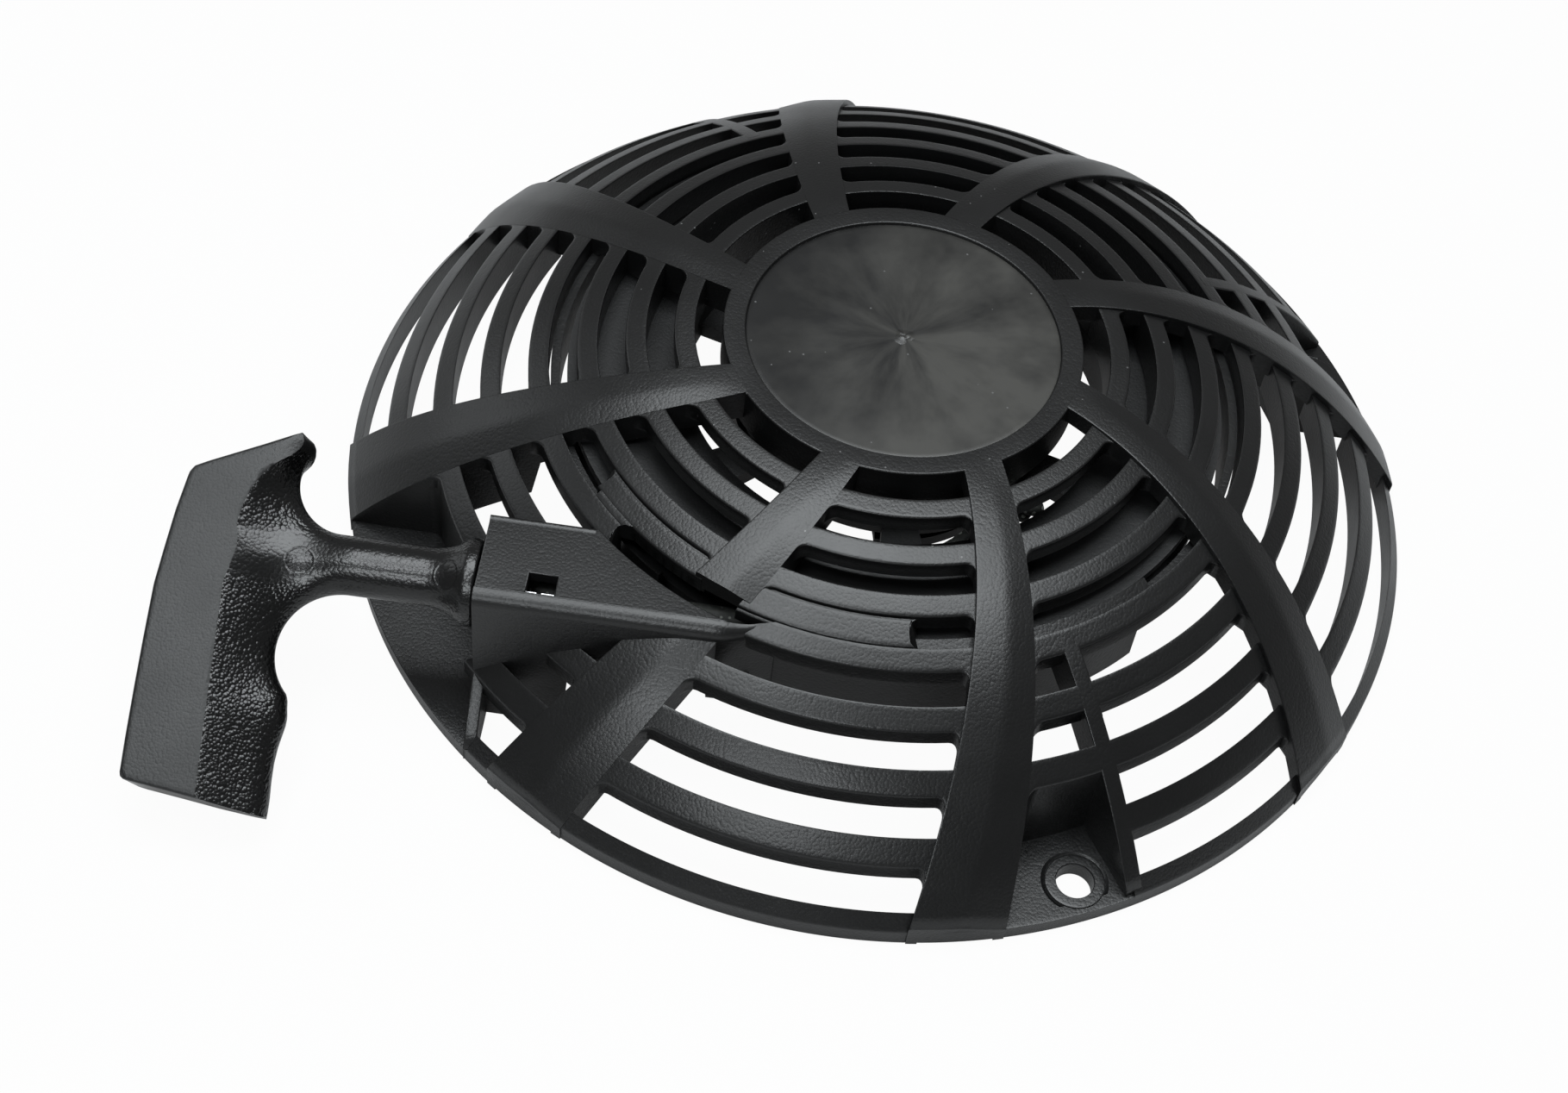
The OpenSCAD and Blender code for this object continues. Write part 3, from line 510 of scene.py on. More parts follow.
def slats_after(k):
    """The slats between spoke k and the next, cut for the snout, the rope's slot and the bars."""
    start, stop, bar = after(k), before(k + 1), fixed(BAR_ANGLE + k * SPOKE_STEP)
    for row in range(1, ROWS):
        r0, r1 = slot_in(row - 1) + SLOT_W, slot_in(row)
        if k == SNOUT_SPOKE and row > 3:
            snout_slats(row, r0, r1)
        elif k == ROPE_SPOKE and row == 4:
            slat(r0, r1, tail_edge, stop, flare=(False, True), bury=(0.0, BURY))
        elif k in POCKET_SPOKES and row >= 5:
            if row < ROWS - 1:
                slat(r0, r1, start, bar)
            slat(r0, r1, bar, stop)
        else:
            slat(r0, r1, start, stop)


def snout_slats(row, r0, r1):
    """What the snout leaves of a slat on its two sides."""
    start, stop = after(SNOUT_SPOKE), before(SNOUT_SPOKE + 1)
    if row == 4:
        slat(r0, r1, start, rope_slot_end, flare=(True, False), bury=(BURY, 0.0))
        slat(r0 - 1.4, r0 + 0.3, fixed(FILL_FROM + 1), rope_slot_end, flare=(False, False), bury=(0.0, 0.0), lift=-0.02)
    if row in (5, 6):
        slat(r0, r1, start, plane_y(BACK_Y - 0.8), flare=(True, False))
    if row in (6, 7):
        slat(r0, r1, plane_y(FRONT_Y + 1.0), stop, flare=(False, True))


def closed_row():
    """The closed stretch of the fourth row of slots, a sunk bed with a slat in it behind a fine groove."""
    def slot_end(at, way):
        return lambda r: at + way * np.degrees(corner(np.minimum(r - FILL_IN, FILL_OUT - r)) / r)

    plain = (False, False)
    for from_edge, to_edge, bed_out, slat_out, bury in (
            (slot_end(FILL_FROM, -1), before(ROPE_SPOKE), ROPE_SLOT_IN - 0.05, ROPE_SLOT_IN - 0.05, (0.0, BURY)),
            (after(ROPE_SPOKE), slot_end(FILL_TO, 1), FILL_OUT + 0.4, FILL_OUT + 0.4 - FILL_GROOVE, (BURY, 0.0))):
        slat(FILL_IN - 0.3, bed_out, from_edge, to_edge, flare=plain, lift=-FILL_BED, bury=bury)
        slat(FILL_IN + FILL_GROOVE, slat_out, from_edge, to_edge, flare=plain, lift=-FILL_SINK, bury=bury)


def guard(r0, r1, from_a, to_a, low, top, count=None):
    """A stretch of thin wall round the pulley."""
    count = count or int(abs(to_a - from_a) / 1.6) + 2
    r, z = np.array([r0, r0, r1, r1]), np.array([low, top(r0), top(r1), low])
    housing.loft([polar(r, a, z)[::-1] for a in np.linspace(from_a, to_a, count)])


def guards():
    """Walls outside the pulley, open where the rope leaves."""
    guard(70.5, 73.0, -104.5, -42.0, 15.0, lambda r: dome_z(r) - 1.4)
    guard(70.6, 72.4, -42.5, 217.0, 22.0, lambda r: 34.2)
    guard(70.5, 71.7, -143, -126, SILL_LOW, lambda r: 31.0, count=14)


def bar(k):
    """The radial bar beside a pocket; it reaches the floor where it walls the pocket."""
    wall_from = POCKET_R - 2.4
    rings = []
    for r in np.r_[np.linspace(slot_in(4) - PITCH / 4, wall_from, 12), np.linspace(wall_from + 0.01, RIM_R - 0.8, 14)]:
        x = np.array([0, 0, 0.1, 0.35]) - BAR_HALF
        drop = np.array([0, 0.36, 0.1, 0])
        z = dome_z(r) + 0.03 - np.r_[drop, drop[::-1]]
        z[0] = z[-1] = LOW if r > wall_from else under(r, SLAT_IN)
        rings.append(polar(r, BAR_ANGLE + k * SPOKE_STEP + np.degrees(np.r_[x, -x[::-1]] / r), z)[::-1])
    housing.loft(rings)


def pocket(k, end, flare, rim_end, back_end, steps):
    """A mounting pocket after spoke k: its inner wall, and a floor with a groove round the screw's pad."""
    slat(POCKET_R - POCKET_WALL, POCKET_R - 0.02, after(k), end, flare=(True, flare), bottom=LOW, lift=-0.03)
    inner, outer = POCKET_R - 1, RIM_R - 1.2
    r = np.linspace(inner, outer, 12)
    left = flat_polar(r, trail_edge(r, k) - 0.6)
    far = flat_polar(outer, np.linspace(trail_edge(outer, k) - 0.5, rim_end, steps[0]))
    back = flat_polar(inner, np.linspace(back_end, trail_edge(inner, k), steps[1]))
    at = flat_polar(BOLT_R, BOLT_ANGLE + k * SPOKE_STEP)
    groove = at + flat_polar(6.75, np.arange(48) * 7.5)
    groove *= np.minimum(1, (RIM_R - 2) / np.linalg.norm(groove, axis=1))[:, None]
    housing.plate(np.concatenate([left, far[1:], back[:-1]]), [groove], FLOOR_H, LOW)
    housing.revolve([(5.9, FLOOR_H - 0.45), (6.25, FLOOR_H - 0.45), (6.8, FLOOR_H - 0.01), (6.8, 0.06),
                     (5.9, 0.06)], at=at)
    housing.revolve([(BOLT_HOLE, 0.02), (BOLT_HOLE, FLOOR_H + 0.18), (BOLT_HOLE + 0.2, FLOOR_H + 0.42),
                     (5.6, FLOOR_H + 0.42), (5.95, FLOOR_H + 0.3), (6.1, FLOOR_H - 0.4), (6.0, 0.02)], at=at)


def pockets():
    for k in POCKET_SPOKES:
        wall = BAR_ANGLE + k * SPOKE_STEP
        bar(k)
        pocket(k, fixed(wall), True, wall, wall, steps=(10, 8))
    rim_end, back_end = [360 - math.degrees(math.acos(-SNOUT_END / r)) for r in (RIM_R - 1.2, POCKET_R - 1)]
    pocket(SNOUT_SPOKE, plane_y(BACK_Y - 1.5), False, rim_end, back_end, steps=(16, 12))


# Snout
SNOUT_WALL, SNOUT_ROUND = 2.4, 2.8
ROUND_Y = FRONT_Y + SNOUT_ROUND
WINDOW = ((-66.2, -71.6), (-60.6, -71.6), (-60.6, -67.0), (-66.2, -67.0))
TAPER_FROM, TAPER_TO, TAPER_IN = -28.0, -17.6, 1.3
SILL_LOW, SILL_TOP, SILL_IN, SILL_OUT = 20.8, 23.2, 67.0, 77.5


def snout_foot():
    """The wall under the snout's mouth, down to the rim."""
    x = -SNOUT_END
    rings = []
    for y in np.linspace(-52.5, -86.6, 16):
        top = min(dome_z(math.hypot(x, y)) + 0.02, 26.0)
        rings.append([(x, y, LOW), (x, y, top - 0.3), (x + 0.3, y, top), (x + 2.2, y, top),
                      (x + 2.5, y, top - 0.3), (x + 2.5, y, LOW)])
    housing.loft(rings)


def snout_top():
    meet = -180 + math.degrees(math.asin(-ROUND_Y / ROPE_SLOT_OUT))
    arc = flat_polar(ROPE_SLOT_OUT, np.linspace(-134.6, meet, 26))
    outline = np.concatenate([[(-SNOUT_END, ROUND_Y), (-SNOUT_END, BACK_Y), (-54.6, BACK_Y)], arc])
    housing.plate(outline[::-1], [WINDOW], SNOUT_TOP, SNOUT_TOP - SNOUT_WALL, edge=0.25)


def snout_front():
    """The front wall under a rounded edge, which runs out into the dome in a taper."""
    turns = np.radians(np.linspace(90, 180, 7))
    rings = []
    for x in np.linspace(-SNOUT_END, TAPER_TO, 44):
        t = max(0.0, (x - TAPER_FROM) / (TAPER_TO - TAPER_FROM))
        y0 = ROUND_Y + TAPER_IN * t ** 1.2
        y1 = FRONT_Y + (ROUND_Y + TAPER_IN - FRONT_Y - 0.3) * min(1.0, t) ** 1.2
        top = SNOUT_TOP + min(1.0, 1.6 * t) * (dome_z(math.hypot(x, y0)) - 0.15 * t - SNOUT_TOP)
        low = LOW if x < -58 else 16.0 if x > -30 else dome_z(math.hypot(x, y1)) - 4.0
        inner = y1 + min(SNOUT_WALL, y0 - y1 + 0.6)
        ring = [(x, y0 + (y0 - y1) * math.cos(q), top - SNOUT_ROUND + SNOUT_ROUND * math.sin(q)) for q in turns]
        ring += [(x, y1, low), (x, inner, low), (x, inner, top - SNOUT_WALL), (x, y0, top - SNOUT_WALL)]
        rings.append(ring[::-1])
    housing.loft(rings)


def snout_back():
    """The back wall, with a bead along its top."""
    section = ((0, 18.0 - SNOUT_TOP), (0, -0.6), (-0.2, 0.1), (-0.7, 0.35), (-1.3, 0.1), (-1.6, -0.2),
               (-SNOUT_WALL, -1.5), (-SNOUT_WALL, 18.0 - SNOUT_TOP))
    housing.loft([[(x, BACK_Y + y, SNOUT_TOP + z) for y, z in section] for x in np.linspace(-SNOUT_END, -55.2, 12)])


def sill():
    """The shelf under the rope."""
    outline = np.vstack([[(-SNOUT_END, FRONT_Y + 1), (-SNOUT_END, BACK_Y - 1), (-58.0, BACK_Y - 1)],
                         flat_polar(SILL_OUT, np.array([-138.0])), flat_polar(SILL_IN, np.linspace(-138.0, -107.0, 16)),
                         [(-22.0, FRONT_Y + 1)]])
    housing.plate(outline[::-1], [], SILL_TOP, SILL_LOW)


hub()
rim()
gate_mark()
spokes()
for sector in range(SPOKE_COUNT):
    slats_after(sector)
pockets()
snout_foot()
closed_row()
guards()
snout_top()
snout_front()
snout_back()
sill()


# Materials
class Nodes:
    """A node tree, with short calls to add and link nodes."""

    def __init__(self, tree):
        self.tree = tree

    def put(self, socket, value):
        if hasattr(value, "is_output"):
            self.tree.links.new(value, socket)
        else:
            socket.default_value = value

    def node(self, kind, **sockets):
        n = self.tree.nodes.new(kind)
        for key, value in sockets.items():
            self.put(n.inputs[key.replace("_", " ")], value)
        return n

    def math(self, op, *values):
        n = self.tree.nodes.new("ShaderNodeMath")
        n.operation = op
        for socket, value in zip(n.inputs, values):
            self.put(socket, value)
        return n.outputs[0]

    def range(self, fac, lo, hi, start=0.3, end=0.7):
        n = self.node("ShaderNodeMapRange", Value=fac, From_Min=start, From_Max=end, To_Min=lo, To_Max=hi)
        return n.outputs["Result"]

    def mix(self, fac, a, b):
        n = self.tree.nodes.new("ShaderNodeMix")
        n.data_type = "RGBA"
        for key, value in (("Factor", fac), ("A", a), ("B", b)):
            self.put(n.inputs[key], value)
        return n.outputs["Result"]

    def ramp(self, fac, stops):
        n = self.node("ShaderNodeValToRGB", Fac=fac)
        spots = n.color_ramp.elements
        while len(spots) < len(stops):
            spots.new(0.5)
        for spot, (position, colour) in zip(spots, stops):
            spot.position = position
            spot.color = (*colour, 1)
        return n.outputs["Color"]


class Material(Nodes):
    """A material's tree, with its patterns in the object's own coordinates."""

    def __init__(self, name):
        self.material = bpy.data.materials.new(name)
        self.material.use_nodes = True
        super().__init__(self.material.node_tree)
        self.shader = self.tree.nodes["Principled BSDF"]
        self.coords = self.tree.nodes.new("ShaderNodeTexCoord").outputs["Object"]

    def set(self, name, value):
        self.put(self.shader.inputs[name], value)

    def noise(self, scale, detail=2.0, rough=0.5, vector=None):
        n = self.node("ShaderNodeTexNoise", Vector=vector or self.coords, Scale=scale, Detail=detail, Roughness=rough)
        return n.outputs["Fac"]

    def cells(self, scale, **sockets):
        return self.node("ShaderNodeTexVoronoi", Vector=self.coords, Scale=scale, **sockets).outputs["Distance"]

    def measure(self, op, other):
        """A vector operation between the point shaded and a fixed vector, as one number."""
        n = self.tree.nodes.new("ShaderNodeVectorMath")
        n.operation = op
        self.put(n.inputs[0], self.coords)
        self.put(n.inputs[1], other)
        return n.outputs["Value"]

    def cloud(self, scale, detail, dark, light, tint):
        """A base colour that drifts between two greys."""
        stops = [(at, [grey * t for t in tint]) for at, grey in ((0.35, dark), (0.65, light))]
        self.set("Base Color", self.ramp(self.noise(scale, detail), stops))

    def bump(self, layers):
        """layers: (height, strength, distance in metres), finest last."""
        for i, (height, strength, distance) in enumerate(layers):
            n = self.node("ShaderNodeBump", Height=height, Strength=strength, Distance=distance)
            if i:
                self.put(n.inputs["Normal"], normal)
            normal = n.outputs["Normal"]
        self.set("Normal", normal)


# The grip lies in a tilted plane: u runs out along the rope, s along its arms, w off the plane
GRIP_TILT = math.radians(26.0)
HALF_T, STEM_HALF = 7.5, 5.8
PIN_MARKS, PIN_R, PIN_LINE, PIN_HEIGHT = ((34.7, -1.2), (5.7, -0.4)), 2.9, 0.3, 0.12
RIDGE_S, RIDGE_HALF, RIDGE_FADE = -0.8, 4.2, 6.2


def in_place(u, s, w):
    """From the grip's own plane to the part's frame."""
    y = s * math.cos(GRIP_TILT) - w * math.sin(GRIP_TILT)
    z = s * math.sin(GRIP_TILT) + w * math.cos(GRIP_TILT)
    return np.stack(np.broadcast_arrays(-SNOUT_END - u, y - ROPE_R, z + ROPE_Z), -1)


def on_stem(m):
    """Near 1 along the smooth ridge of the grip's stem, fading out on the finger grips."""
    arm = in_place(0, 1, 0) - in_place(0, 0, 0)
    middle = float(arm @ in_place(0, RIDGE_S, 0)) * MM
    off = m.math("ABSOLUTE", m.math("SUBTRACT", m.measure("DOT_PRODUCT", arm), middle))
    return m.range(off, 0.9, 0.0, RIDGE_HALF * MM, RIDGE_FADE * MM)


def pin_marks(m):
    """Faint rings that ejector pins left on the stem."""
    rings = []
    for u, s in PIN_MARKS:
        out = m.measure("DISTANCE", in_place(u, s, STEM_HALF) * MM)
        off = m.math("ABSOLUTE", m.math("SUBTRACT", out, PIN_R * MM))
        rings.append(m.range(off, 1.0, 0.0, 0.0, PIN_LINE * MM))
    return m.math("MAXIMUM", *rings)


def round_axis(m):
    """Distance and turn from the axis, and the height."""
    x, y, z = m.node("ShaderNodeSeparateXYZ", Vector=m.coords).outputs
    out = m.math("SQRT", m.math("ADD", m.math("MULTIPLY", x, x), m.math("MULTIPLY", y, y)))
    return out, m.math("ARCTAN2", y, x), z


def on_disc(m):
    """1 on the sunk disc in the middle of the cover."""
    out, _, z = round_axis(m)
    above = m.math("GREATER_THAN", z, (DISC_TOP - 0.4) * MM)
    return m.math("MULTIPLY", m.math("LESS_THAN", out, (DISC_R - 0.1) * MM), above)


COOL = (1.0, 1.02, 1.04)


def plastic(name, dark, light, rough, grain, cell, fine=0.1, bare=None, bare_rough=0.0, bare_grain=0.0, marks=None):
    """Moulded plastic: grain is the height of its pebbles, lower where it is bare, and cell their pitch."""
    m = Material(name)
    m.cloud(28, 3, dark, light, COOL)
    gloss = m.range(m.noise(45, 4, 0.6), rough - 0.03, rough + 0.05)
    pebble = m.cells(1 / (cell * MM))
    leather = m.math("SUBTRACT", 1.0, m.math("MULTIPLY", pebble, pebble))
    if bare:
        plain = bare(m)
        gloss = m.math("ADD", gloss, m.math("MULTIPLY", plain, bare_rough))
        kept = m.math("SUBTRACT", 1.0, m.math("MULTIPLY", plain, 1.0 - bare_grain))
        leather = m.math("MULTIPLY", leather, kept)
    m.set("Roughness", gloss)
    layers = [(leather, 0.8, grain * MM)]
    if marks:
        layers.append((marks(m), 0.5, PIN_HEIGHT * MM))
    m.bump(layers + [(m.noise(3800, 2), fine, 0.0001)])
    return m


# Lighter colour of the disc's flow marks and their painted sheen, and the colour of the dust specks
FLOW_AND_SHEEN_COLOUR, DUST_COLOUR = (0.048, 0.047, 0.043, 1), (0.12, 0.12, 0.12, 1)
DUST_REACH, DUST_SIZE, DUST_PITCH = 60.0, 0.05, 1 / 230


def housing_plastic():
    """The cover's plastic, with cloudy flow marks on the smooth disc, a painted sheen that makes them lighter towards
    one side, and a few specks of dust.
    """
    m = plastic("housing_plastic", 0.0034, 0.0046, 0.35, grain=0.04, cell=0.6, fine=0.06, bare=on_disc)
    out, turn, _ = round_axis(m)
    swirl = m.node("ShaderNodeCombineXYZ", X=m.math("MULTIPLY", m.math("COSINE", turn), 0.9),
                   Y=m.math("MULTIPLY", m.math("SINE", turn), 0.9), Z=m.math("MULTIPLY", out, 25.0)).outputs[0]
    # Painted sheen: the flow marks are scaled from about half to 1.4 times across the disc, so one side of the disc
    # looks lit
    across = m.math("MULTIPLY", out, m.math("COSINE", m.math("ADD", turn, 0.35)))
    level = m.range(across, 0.52, 1.4, -DISC_R * MM, DISC_R * MM)
    flow_and_sheen = m.math("MULTIPLY", m.math("MULTIPLY", m.noise(1.9, 4, 0.6, swirl), level), on_disc(m))
    base = m.shader.inputs["Base Color"].links[0].from_socket
    with_flow_and_sheen = m.mix(m.range(flow_and_sheen, 0.0, 1.0), base, FLOW_AND_SHEEN_COLOUR)
    speck = m.math("LESS_THAN", m.cells(1 / DUST_PITCH), DUST_SIZE)
    near = m.math("LESS_THAN", out, DUST_REACH * MM)
    m.set("Base Color", m.mix(m.math("MULTIPLY", m.math("MULTIPLY", speck, near), 0.8), with_flow_and_sheen, DUST_COLOUR))
    return m.material


def metal(name, dark, light, tint, rough):
    m = Material(name)
    m.cloud(120, 4, dark, light, tint)
    m.set("Metallic", 1.0)
    m.set("Roughness", m.range(m.noise(600, 3), rough - 0.08, rough + 0.08))
    m.bump([(m.noise(900, 3), 0.12, 0.0001)])
    return m.material


def rope_material():
    """Dark braid with pale flecks."""
    m = Material("rope_braid")
    cell = m.cells(620.0, Randomness=0.2)
    fleck = [(0.22, (0.3, 0.31, 0.28)), (0.34, (0.012, 0.013, 0.012)), (0.8, (0.03, 0.032, 0.028))]
    m.set("Base Color", m.ramp(cell, fleck))
    m.set("Roughness", m.range(m.noise(400, 2), 0.6, 0.75))
    m.bump([(cell, 0.35, 0.0004)])
    return m.material


housing_mat = housing_plastic()
grip_mat = plastic("grip_plastic", 0.0034, 0.0044, 0.2, grain=0.16, cell=0.7,
                   bare=on_stem, bare_rough=0.03, bare_grain=0.3, marks=pin_marks).material
flat_mat = plastic("grip_face_plastic", 0.006, 0.0075, 0.42, grain=0.04, cell=0.5, fine=0.15).material
pulley_mat = plastic("pulley_plastic", 0.007, 0.011, 0.45, grain=0.03, cell=0.6).material
steel_mat = metal("bright_steel", 0.5, 0.62, (1, 1, 1.02), 0.3)
spring_mat = metal("spring_steel", 0.24, 0.32, (0.95, 1, 1.1), 0.35)
zinc_mat = metal("zinc_steel", 0.5, 0.64, (1.0, 0.86, 0.5), 0.32)
brass_mat = metal("insert_brass", 0.6, 0.72, (1.0, 0.76, 0.36), 0.3)
rope_mat = rope_material()

stand_for(housing.make("housing_shell", housing_mat), "housing", "housing")

# Grip, drawn flat in u and s, then swelled to both sides
FINGER_STEP, BACK_STEP, FACE_STEP = 0.7, 0.8, 1.0
CREASE, CHAMFER, BACK_ROUND = 0.45, 0.4, 0.7
STEM_TO, ARM_FROM = 24, 42
TIP_S = 20.4
GRID, GRID_CLEAR, FACE_CLEAR = 1.25, 4.8, 0.5
SHELL_DEPTHS = (0.08, 0.3, 0.7, 1.3, 2.1, 3.1, 4.2)


def finger_side():
    """From the short arm's tip round the stem to the long arm's end."""
    tip = circle_arc((38.0, 22.15), 1.4, 78, 205, 12)
    up = circle_arc((28.2, 16.0), 10.2, 22, -90, 32)
    stem = [(u, STEM_HALF) for u in np.linspace(27, 3, 14)]
    end = [(3, s) for s in np.linspace(4.6, -4.6, 8)]
    stem_back = [(u, -STEM_HALF) for u in np.linspace(3, 24.2, 13)]
    low = circle_arc((25.0, -18.0), 12.2, 90, -46, 34)
    bump = [(33.1, -28.0), (32.9, -29.5), (32.6, -31.0), (32.6, -32.6)]
    scallop = [(32.9, -34.5), (33.3, -37.0), (33.5, -40.0), (33.4, -43.5), (33.1, -47.0), (33.0, -50.2)]
    return tip + up + stem + end + stem_back + low + bump + scallop


def back_side():
    """From the long arm's end along the back to the short arm's tip."""
    foot = [(33.4, -50.75), (36.0, -50.5), (42.0, -49.8), (50.0, -48.8), (58.0, -47.85), (59.9, -47.55)]
    back = [(60.45, -46.9), (60.7, -40.0), (60.9, -30.0), (61.0, -20.0), (61.0, -10.0), (60.4, -3.0),
            (59.6, 5.0), (58.4, 12.6)]
    head = [(57.6, 14.0), (55.0, 15.4), (50.0, 17.8), (45.0, 20.2), (40.0, 22.7), (38.8, 23.25)]
    return foot + back + head


def face_edge():
    """Edge of the flat face, from the short arm's tip to the long arm's end."""
    return np.vstack([[(38.0, 22.9), (37.6, 21.9), (37.9, 20.5), (39.4, 18.7)],
                      bezier((41.4, 17.2), (46.8, 12.8), (47.4, 3.6), 16),
                      [(46.7, 1.2), (46.7, -1.6), (47.9, -7.5), (46.6, -33.0), (45.6, -49.2)]])


finger_line, back_line = resample(finger_side(), FINGER_STEP), resample(back_side(), BACK_STEP)
face_line = resample(face_edge(), FACE_STEP)
grip_loop = np.vstack([finger_line, back_line])
if area2(grip_loop) < 0:
    grip_loop = grip_loop[::-1]
back_line = np.vstack([finger_line[-1:], back_line, finger_line[:1]])


def dist_to(points, line):
    best = np.full(len(points), np.inf)
    for p, q in zip(line[:-1], line[1:]):
        d = q - p
        t = np.clip((points - p) @ d / (d @ d), 0, 1)
        best = np.minimum(best, np.linalg.norm(points - (p + t[:, None] * d), axis=1))
    return best


def quarter_round(t):
    """Rise of a quarter circle over its width."""
    return np.sqrt(1 - (1 - np.clip(t, 0, 1)) ** 2)


def swell(t):
    """Rise of a round side over its width, stopping short of level at the crease."""
    return (1 - CHAMFER) * quarter_round(CREASE * t) / quarter_round(CREASE) + CHAMFER * t


def on_face(p):
    """True where a point lies on the flat face, behind its edge."""
    return p[:, 0] > np.interp(p[:, 1], face_line[::-1, 1], face_line[::-1, 0])


def half_thickness(p):
    """How far the grip stands off its middle plane."""
    from_finger, from_back = dist_to(p, finger_line), dist_to(p, back_line)
    to_face = np.where(on_face(p), 0, dist_to(p, face_line))
    arm = HALF_T * swell(from_finger / (from_finger + to_face + 1e-9))
    stem = STEM_HALF * quarter_round(from_finger / STEM_HALF)
    t = np.clip((p[:, 0] - STEM_TO) / (ARM_FROM - STEM_TO), 0, 1)
    mix = t * t * (3 - 2 * t)
    back = HALF_T - BACK_ROUND + BACK_ROUND * quarter_round(from_back / BACK_ROUND)
    return np.minimum(stem * (1 - mix) + arm * mix, back)


def grip_points():
    """The outline, the face's edge, rows that follow the outline inwards, and a grid over the rest."""
    def edge_distance(p):
        return np.minimum(dist_to(p, finger_line), dist_to(p, back_line))

    points = [grip_loop, face_line]
    inward = unit(offset_loop(grip_loop, 1.0) - grip_loop)
    for depth in SHELL_DEPTHS:
        p = grip_loop + depth * inward
        ok = [inside(q, grip_loop) and w > 0.96 * depth for q, w in zip(p, edge_distance(p))]
        points.append(p[np.array(ok) & (dist_to(p, face_line) > 0.3)])
    gu, gs = np.meshgrid(np.arange(3.0, 62, GRID), np.arange(-52.0, 25, GRID))
    grid = np.c_[gu.ravel(), gs.ravel()]
    ok = [w > GRID_CLEAR and inside(q, grip_loop) for q, w in zip(grid, edge_distance(grid))]
    points.append(grid[np.array(ok) & (dist_to(grid, face_line) > FACE_CLEAR)])
    return np.vstack(points)


COLLAR_BORE, COLLAR_R, COLLAR_END = 2.75, 8.75, 13.0
COLLAR_STEM, COLLAR_FROM, COLLAR_FADE = 5.62, 2.6, 3.3


def add_collar(grip):
    """The stem's flange, flaring from the stem to its rounded end."""
    flare = [(COLLAR_STEM + (COLLAR_R - COLLAR_STEM) * math.exp(-(max(0, u - COLLAR_FROM) / COLLAR_FADE) ** 1.35), u)
             for u in np.linspace(2.2, COLLAR_END, 18)]
    profile = [(COLLAR_BORE, 0.3), (8.2, 0.3), (8.6, 0.5), (COLLAR_R, 0.95)] + flare + [(COLLAR_BORE, COLLAR_END)]
    r, u = np.array(profile).T
    turns = np.radians(np.arange(64) * 360 / 64)
    grip.loft([in_place(u, r * math.cos(a), r * math.sin(a)) for a in turns], loop=True)


def pull_grip():
    n, m = len(grip_loop), len(face_line)
    flat, tris = triangulate(grip_points(), ring_edges(n) + [(n + i, n + i + 1) for i in range(m - 1)])
    middles = np.array([flat[list(t)].mean(0) for t in tris])
    held = [i for i, p in enumerate(middles) if inside(p, grip_loop)]
    tris, middles = [tris[i] for i in held], middles[held]
    half = half_thickness(flat)
    grip = Shape()
    grip.add(in_place(flat[:, 0], flat[:, 1], half), [t[::-1] for t in tris])
    base = grip.add(in_place(flat[:, 0], flat[:, 1], -half), tris)
    grip.faces += [(i, j, base + j, base + i) for i, j in ring_edges(n)]
    add_collar(grip)
    obj = grip.make("pull_grip", grip_mat)
    obj.data.materials.append(flat_mat)
    smooth_face = on_face(middles) | (middles[:, 1] > TIP_S)
    for i in np.nonzero(np.r_[smooth_face, smooth_face])[0]:
        obj.data.polygons[int(i)].material_index = 1
    return obj


stand_for(pull_grip(), "grip", "grip")

# Rope: three turns on the pulley, a tail to its knot in the core, and a straight run to the grip's knot
TURNS, TURN_STEPS, TURN_PITCH = 3, 72, ROPE_D + 0.6
BRAID_STEP, BRAID_SIDES, STRANDS, STRAND_TURN, STRAND_H = 0.75, 16, 4, 2.1, 0.09
KNOT_HALF, KNOT_IN, KNOT_ROPE = 4.3, 0.1, 1.75
TAIL_TURN, TAIL_STEPS = 36, 15
CORE_GAP, CORE_WALL, CORE_LINE = 0.3, 2.5, 1.25
RUN_END = 49.5


def braid(name, path):
    """A tube whose surface waves where two sets of strands cross."""
    path = np.asarray(path, float)
    total = lengths(path)[-1]
    t = np.linspace(0, total, int(total / BRAID_STEP))
    middle = at_lengths(path, t)
    a = np.arange(BRAID_SIDES) * 2 * math.pi / BRAID_SIDES
    twist = (t * STRAND_TURN)[:, None]
    wave = STRAND_H * np.cos(STRANDS * a + twist) * np.cos(STRANDS * a - twist)
    rings = tube_rings(middle, np.gradient(middle, axis=0), (0, 0, 1.0), ROPE_D / 2 - 0.1 + wave, BRAID_SIDES)
    rope = Shape()
    rope.loft(rings[:, ::-1])
    return rope.make(name, rope_mat)


def knot(name, centre, turn, body, node):
    """A tight overhand knot, drawn as one rope round a trefoil."""
    t = np.linspace(0, 2 * math.pi, 90, endpoint=False)
    x = (np.sin(t) + 2 * np.sin(2 * t)) * 0.72
    y = (np.cos(t) - 2 * np.cos(2 * t)) * 0.72
    z = -np.sin(3 * t) * 1.25
    c, s = math.cos(turn), math.sin(turn)
    path = np.stack([z * c - x * s, z * s + x * c, y], 1) + np.asarray(centre)
    tangent = np.roll(path, -1, 0) - np.roll(path, 1, 0)
    shape = Shape()
    shape.loft(tube_rings(path, tangent, (c, s, 0.2), KNOT_ROPE, 12)[:, ::-1], loop=True)
    stand_for(shape.make(name, rope_mat), body, node)


